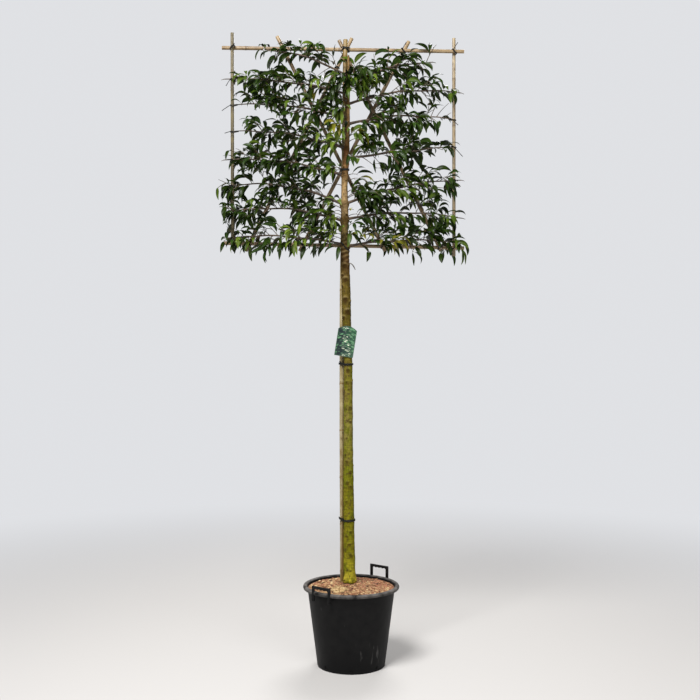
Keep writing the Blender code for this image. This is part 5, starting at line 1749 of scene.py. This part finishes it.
def twig_bark(name, shade, tone, roughness):
    """Thin young bark, patchy between two tones, with a fine grain."""
    made, nodes, links, shader = start_material(name)
    place = nodes.new("ShaderNodeTexCoord").outputs["Object"]
    patches = fine_noise(nodes, links, place, 60.0, 4.0)
    links.new(colour_ramp(nodes, links, patches, [(0.34, shade), (0.66, tone)]), shader.inputs["Base Color"])
    shader.inputs["Roughness"].default_value = roughness
    add_bump(nodes, links, shader, fine_noise(nodes, links, place, 400.0, 3.0), 0.0006, 0.6)
    return made


limb_bark = twig_bark("branch_bark", linear(44, 34, 26), linear(88, 70, 52), 0.70)
shoot_bark = twig_bark("shoot_bark", linear(42, 32, 22), linear(78, 64, 38), 0.55)
foliage_nodes = [f"foliage_{tier.side}_{tier.number}" for tier in tiers]
bough_nodes = [f"bough_{tier.side}_{tier.number}" for tier in tiers]
mesh_piece("trained_branches", branches.corners, branches.faces, limb_bark, bough_nodes, 50)
mesh_piece("leafy_shoots", shoots.corners, shoots.faces, shoot_bark, foliage_nodes, 60)


# Leaves: narrow, glossy and leathery, each arched down from a red stalk and folded a little along its midrib.
# They hang in sprays of five greens. One that would touch a cane or leave its tier's space is left off.
LEAF_LENGTH = (0.060, 0.092)
LEAF_SLENDER = (0.22, 0.30)
LEAF_BEND = (0.9, 2.4)
GAP_STRAYS = 0.10
FRINGE_TOP = 2.045
FRINGE_SHARE = 0.35
LEAF_STATIONS = (0.0, 0.06, 0.13, 0.21, 0.29, 0.38, 0.47, 0.56, 0.65, 0.74, 0.83, 0.92, 1.0)
LEAF_FOLD = 0.34
STALK_LENGTH = 0.010
STALK_RADIUS = 0.0008
LEAF_GAP = 0.003
EDGE_GAP = 0.0015
NEXT_TONE_FROM = 0.86


def leaf_rows():
    """Root, direction, tone and tier number of every leaf. A few leaves take the next tone."""
    roots, ways, tones, owners = [], [], [], []
    for spray in sprays:
        for root, way, luck in spray.leaves:
            tone = LEAF_TONES.index(spray.tone)
            if luck > NEXT_TONE_FROM:
                tone = (tone + 1) % 3
            roots.append(root)
            ways.append(way)
            tones.append(tone)
            owners.append(tiers.index(spray.tier) if spray.tier else -1)
    return np.array(roots), np.array(ways), tones, np.array(owners)


def shape_leaves(draw, roots, ways):
    """Foot of every blade, with its midrib and both edges at each station from foot to tip."""
    count = len(roots)
    lengths = draw.uniform(*LEAF_LENGTH, count)
    widths = lengths * draw.uniform(*LEAF_SLENDER, count)
    twists = draw.normal(0, 0.45, count)
    curls = draw.uniform(-0.5, 0.5, count)
    down = np.array([0.0, 0.0, -1.0])
    rise = np.arcsin(np.clip(ways[:, 2], -1, 1))
    bends = np.minimum(draw.uniform(*LEAF_BEND, count), rise + 1.75)
    fall = down + ways * ways[:, 2][:, None] + draw.normal(0, 0.10, (count, 3)) * [1, 1, 0]
    fall /= np.linalg.norm(fall, axis=1)[:, None]
    outward = np.where(ways[:, 1] > 0, 0.6, -0.6)
    light = np.stack([draw.normal(0, 0.25, count), outward, np.ones(count)], axis=1)
    side = np.cross(ways, light)
    side /= np.linalg.norm(side, axis=1)[:, None]
    normal = np.cross(side, ways)
    side = side * np.cos(twists)[:, None] + normal * np.sin(twists)[:, None]
    stalks = roots + (ways * 0.95 + down * 0.05) * STALK_LENGTH
    midrib, headings = [stalks], [ways]
    for low, high in zip(LEAF_STATIONS, LEAF_STATIONS[1:]):
        share = (low + high) / 2
        turned = (bends * share**1.15)[:, None]
        heading = ways * np.cos(turned) + fall * np.sin(turned)
        heading += side * (curls * share)[:, None]
        heading /= np.linalg.norm(heading, axis=1)[:, None]
        midrib.append(midrib[-1] + heading * (lengths * (high - low))[:, None])
        headings.append(heading)
    midrib = np.stack(midrib, axis=1)
    headings = np.stack(headings, axis=1)
    stations = np.array(LEAF_STATIONS)
    shape = np.sin(math.pi * stations**0.84) ** 0.80 * (1 - 0.20 * stations**3)
    half = widths[:, None] / 2 * shape[None, :]
    across = side[:, None, :] - headings * (side[:, None, :] * headings).sum(axis=2)[..., None]
    across /= np.linalg.norm(across, axis=2)[..., None]
    upward = np.cross(across, headings)
    wave = 1 + 0.35 * np.sin(stations[None, :] * 9 + draw.uniform(0, 6, count)[:, None])
    lift = upward * (half * LEAF_FOLD * wave)[..., None]
    left_edge = midrib - across * half[..., None] + lift
    right_edge = midrib + across * half[..., None] + lift
    return stalks, midrib, left_edge, right_edge


def leaves_that_fit(draw, owners, midrib, left_edge, right_edge):
    """Whether each leaf is clear of canes and trunk, in its tier's space and out of the sky gaps."""
    count = len(owners)
    kept = solids.clear(midrib, LEAF_GAP).all(axis=1)
    for edge in (left_edge, right_edge):
        kept &= solids.clear(edge, EDGE_GAP).all(axis=1)
    for number, tier in enumerate(tiers):
        mine = owners == number
        kept[mine] &= tier.holds(midrib[mine]).all(axis=1)
    kept &= ~in_sky_gap(midrib[:, len(LEAF_STATIONS) // 2]) | (draw.random(count) < GAP_STRAYS)
    kept &= (midrib[:, -1, 2] > FRINGE_TOP) | (draw.random(count) < FRINGE_SHARE)
    return kept


def lay_leaves():
    """Blades of all the leaves that fit, by tone, and the lines of their stalks."""
    roots, ways, tones, owners = leaf_rows()
    draw = np.random.default_rng(21)
    stalks, midrib, left_edge, right_edge = shape_leaves(draw, roots, ways)
    kept = leaves_that_fit(draw, owners, midrib, left_edge, right_edge)
    blades = {tone: [] for tone in LEAF_TONES}
    stalk_lines = []
    for k in np.flatnonzero(kept):
        blades[LEAF_TONES[tones[k]]].append((midrib[k], left_edge[k], right_edge[k]))
        stalk_lines.append((roots[k], stalks[k], midrib[k][1]))
    return blades, stalk_lines


def leaf_mesh(blades):
    """Corners, faces and map of leaves: midrib and two edges at each station, pointed at both ends."""
    corners, faces, places = [], [], []
    inner = len(LEAF_STATIONS) - 2
    for midrib, left_edge, right_edge in blades:
        first = len(corners)
        corners.append(midrib[0])
        places.append((0.5, 0.0))
        for k in range(1, inner + 1):
            corners += [left_edge[k], midrib[k], right_edge[k]]
            places += [(0.0, LEAF_STATIONS[k]), (0.5, LEAF_STATIONS[k]), (1.0, LEAF_STATIONS[k])]
        corners.append(midrib[-1])
        places.append((0.5, 1.0))
        last = first + 1 + 3 * inner
        faces += [(first, first + 2, first + 1), (first, first + 3, first + 2)]
        for k in range(inner - 1):
            a = first + 1 + 3 * k
            faces += [(a, a + 1, a + 4, a + 3), (a + 1, a + 2, a + 5, a + 4)]
        a = last - 3
        faces += [(a, a + 1, last), (a + 1, a + 2, last)]
    return corners, faces, places


def leaf_skin(name, deep, bright, rib):
    """Leathery leaf green with a waxy gloss, a faint mottle, a pale midrib and shallow side veins."""
    made, nodes, links, shader = start_material(name)
    place = nodes.new("ShaderNodeTexCoord").outputs["Object"]
    blade_map = nodes.new("ShaderNodeUVMap")
    blade_map.uv_map = "blade"
    apart = nodes.new("ShaderNodeSeparateXYZ")
    links.new(blade_map.outputs["UV"], apart.inputs["Vector"])
    aside = calculate(nodes, links, "ABSOLUTE", calculate(nodes, links, "SUBTRACT", apart.outputs["X"], 0.5))
    mottle = fine_noise(nodes, links, place, 22.0, 4.0)
    base = colour_ramp(nodes, links, mottle, [(0.34, deep), (0.66, bright)])
    on_rib = grey_ramp(nodes, links, aside, 0.055, 0.015)
    links.new(mix_colours(nodes, links, on_rib, base, rib), shader.inputs["Base Color"])
    along = calculate(nodes, links, "MULTIPLY", apart.outputs["Y"], 70.0)
    slant = calculate(nodes, links, "MULTIPLY_ADD", aside, -28.0, along)
    add_bump(nodes, links, shader, calculate(nodes, links, "SINE", slant), 0.0003, 0.12)
    shader.inputs["Roughness"].default_value = 0.36
    shader.inputs["Specular IOR Level"].default_value = 0.12
    return made


LEAF_SKINS = {
    "dark": leaf_skin("leaf_dark_green", linear(11, 21, 2), linear(33, 48, 7), linear(44, 59, 14)),
    "deep": leaf_skin("leaf_deep_green", linear(15, 30, 5), linear(42, 62, 17), linear(54, 72, 24)),
    "mid": leaf_skin("leaf_mid_green", linear(36, 53, 8), linear(69, 87, 22), linear(84, 98, 34)),
    "fresh": leaf_skin("leaf_fresh_green", linear(54, 72, 18), linear(89, 106, 34), linear(118, 127, 58)),
    "yellow": leaf_skin("leaf_yellowing", linear(78, 78, 17), linear(110, 106, 30), linear(134, 128, 54)),
}
blades, stalk_lines = lay_leaves()
for tone, made_blades in blades.items():
    corners, faces, places = leaf_mesh(made_blades)
    skin, mapped = LEAF_SKINS[tone], ("blade", places)
    mesh_piece(f"leaves_{tone}", corners, faces, skin, (), 80, mapped)

stalks = Twigs()
for root, foot, blade in stalk_lines:
    points = [Vector(root), Vector(foot), Vector(blade)]
    stalks.add(points, [STALK_RADIUS, STALK_RADIUS * 0.9, STALK_RADIUS * 0.35], 4)
stalk_skin = twig_bark("stalk_skin", linear(62, 38, 26), linear(88, 74, 36), 0.50)
mesh_piece("leaf_stalks", stalks.corners, stalks.faces, stalk_skin, (), 60)


# Branch ties: thin black tube, wound twice round each branch and the side cane it passes, and knotted.
# The knots face outwards and to the front, each with one loose end, and three of the ends are long.
LONG_ENDS = {
    ("right", 4): (0.048, -0.004, -0.052),
    ("left", 6): (-0.044, -0.004, -0.030),
    ("left", 7): (-0.024, -0.004, -0.038),
}
BRANCH_TIE_HOLE = 0.0032
branch_tie_lines = []
tie_chance = random.Random(12)
for tier in tiers:
    if tier.reach < 0.95:
        continue
    side = named["side_left" if tier.side == "left" else "side_right"]
    spot = tier.point(min(1.0, tier.reach - 0.01))
    cane = side.point(side.length * (spot.z - side.start.z) / (side.end.z - side.start.z))
    tie_circles = [(cane.x, cane.y, SIDE_RADIUS), (spot.x, spot.y, BRANCH_TIE_HOLE)]
    tie_end = (tier.sign * tie_chance.uniform(0.010, 0.040), -0.004, tie_chance.uniform(-0.034, 0.006))
    tie_end = LONG_ENDS.get((tier.side, tier.number), tie_end)
    if abs(spot.x - cane.x) < 0.05:
        knot_side = (tier.sign * 0.5, -1.0)
        branch_tie_lines += level_tie(spot.z, tie_circles, THIN_TUBE, knot_side, (tie_end,))
tie_piece("branch_ties", branch_tie_lines, THIN_TUBE, ())
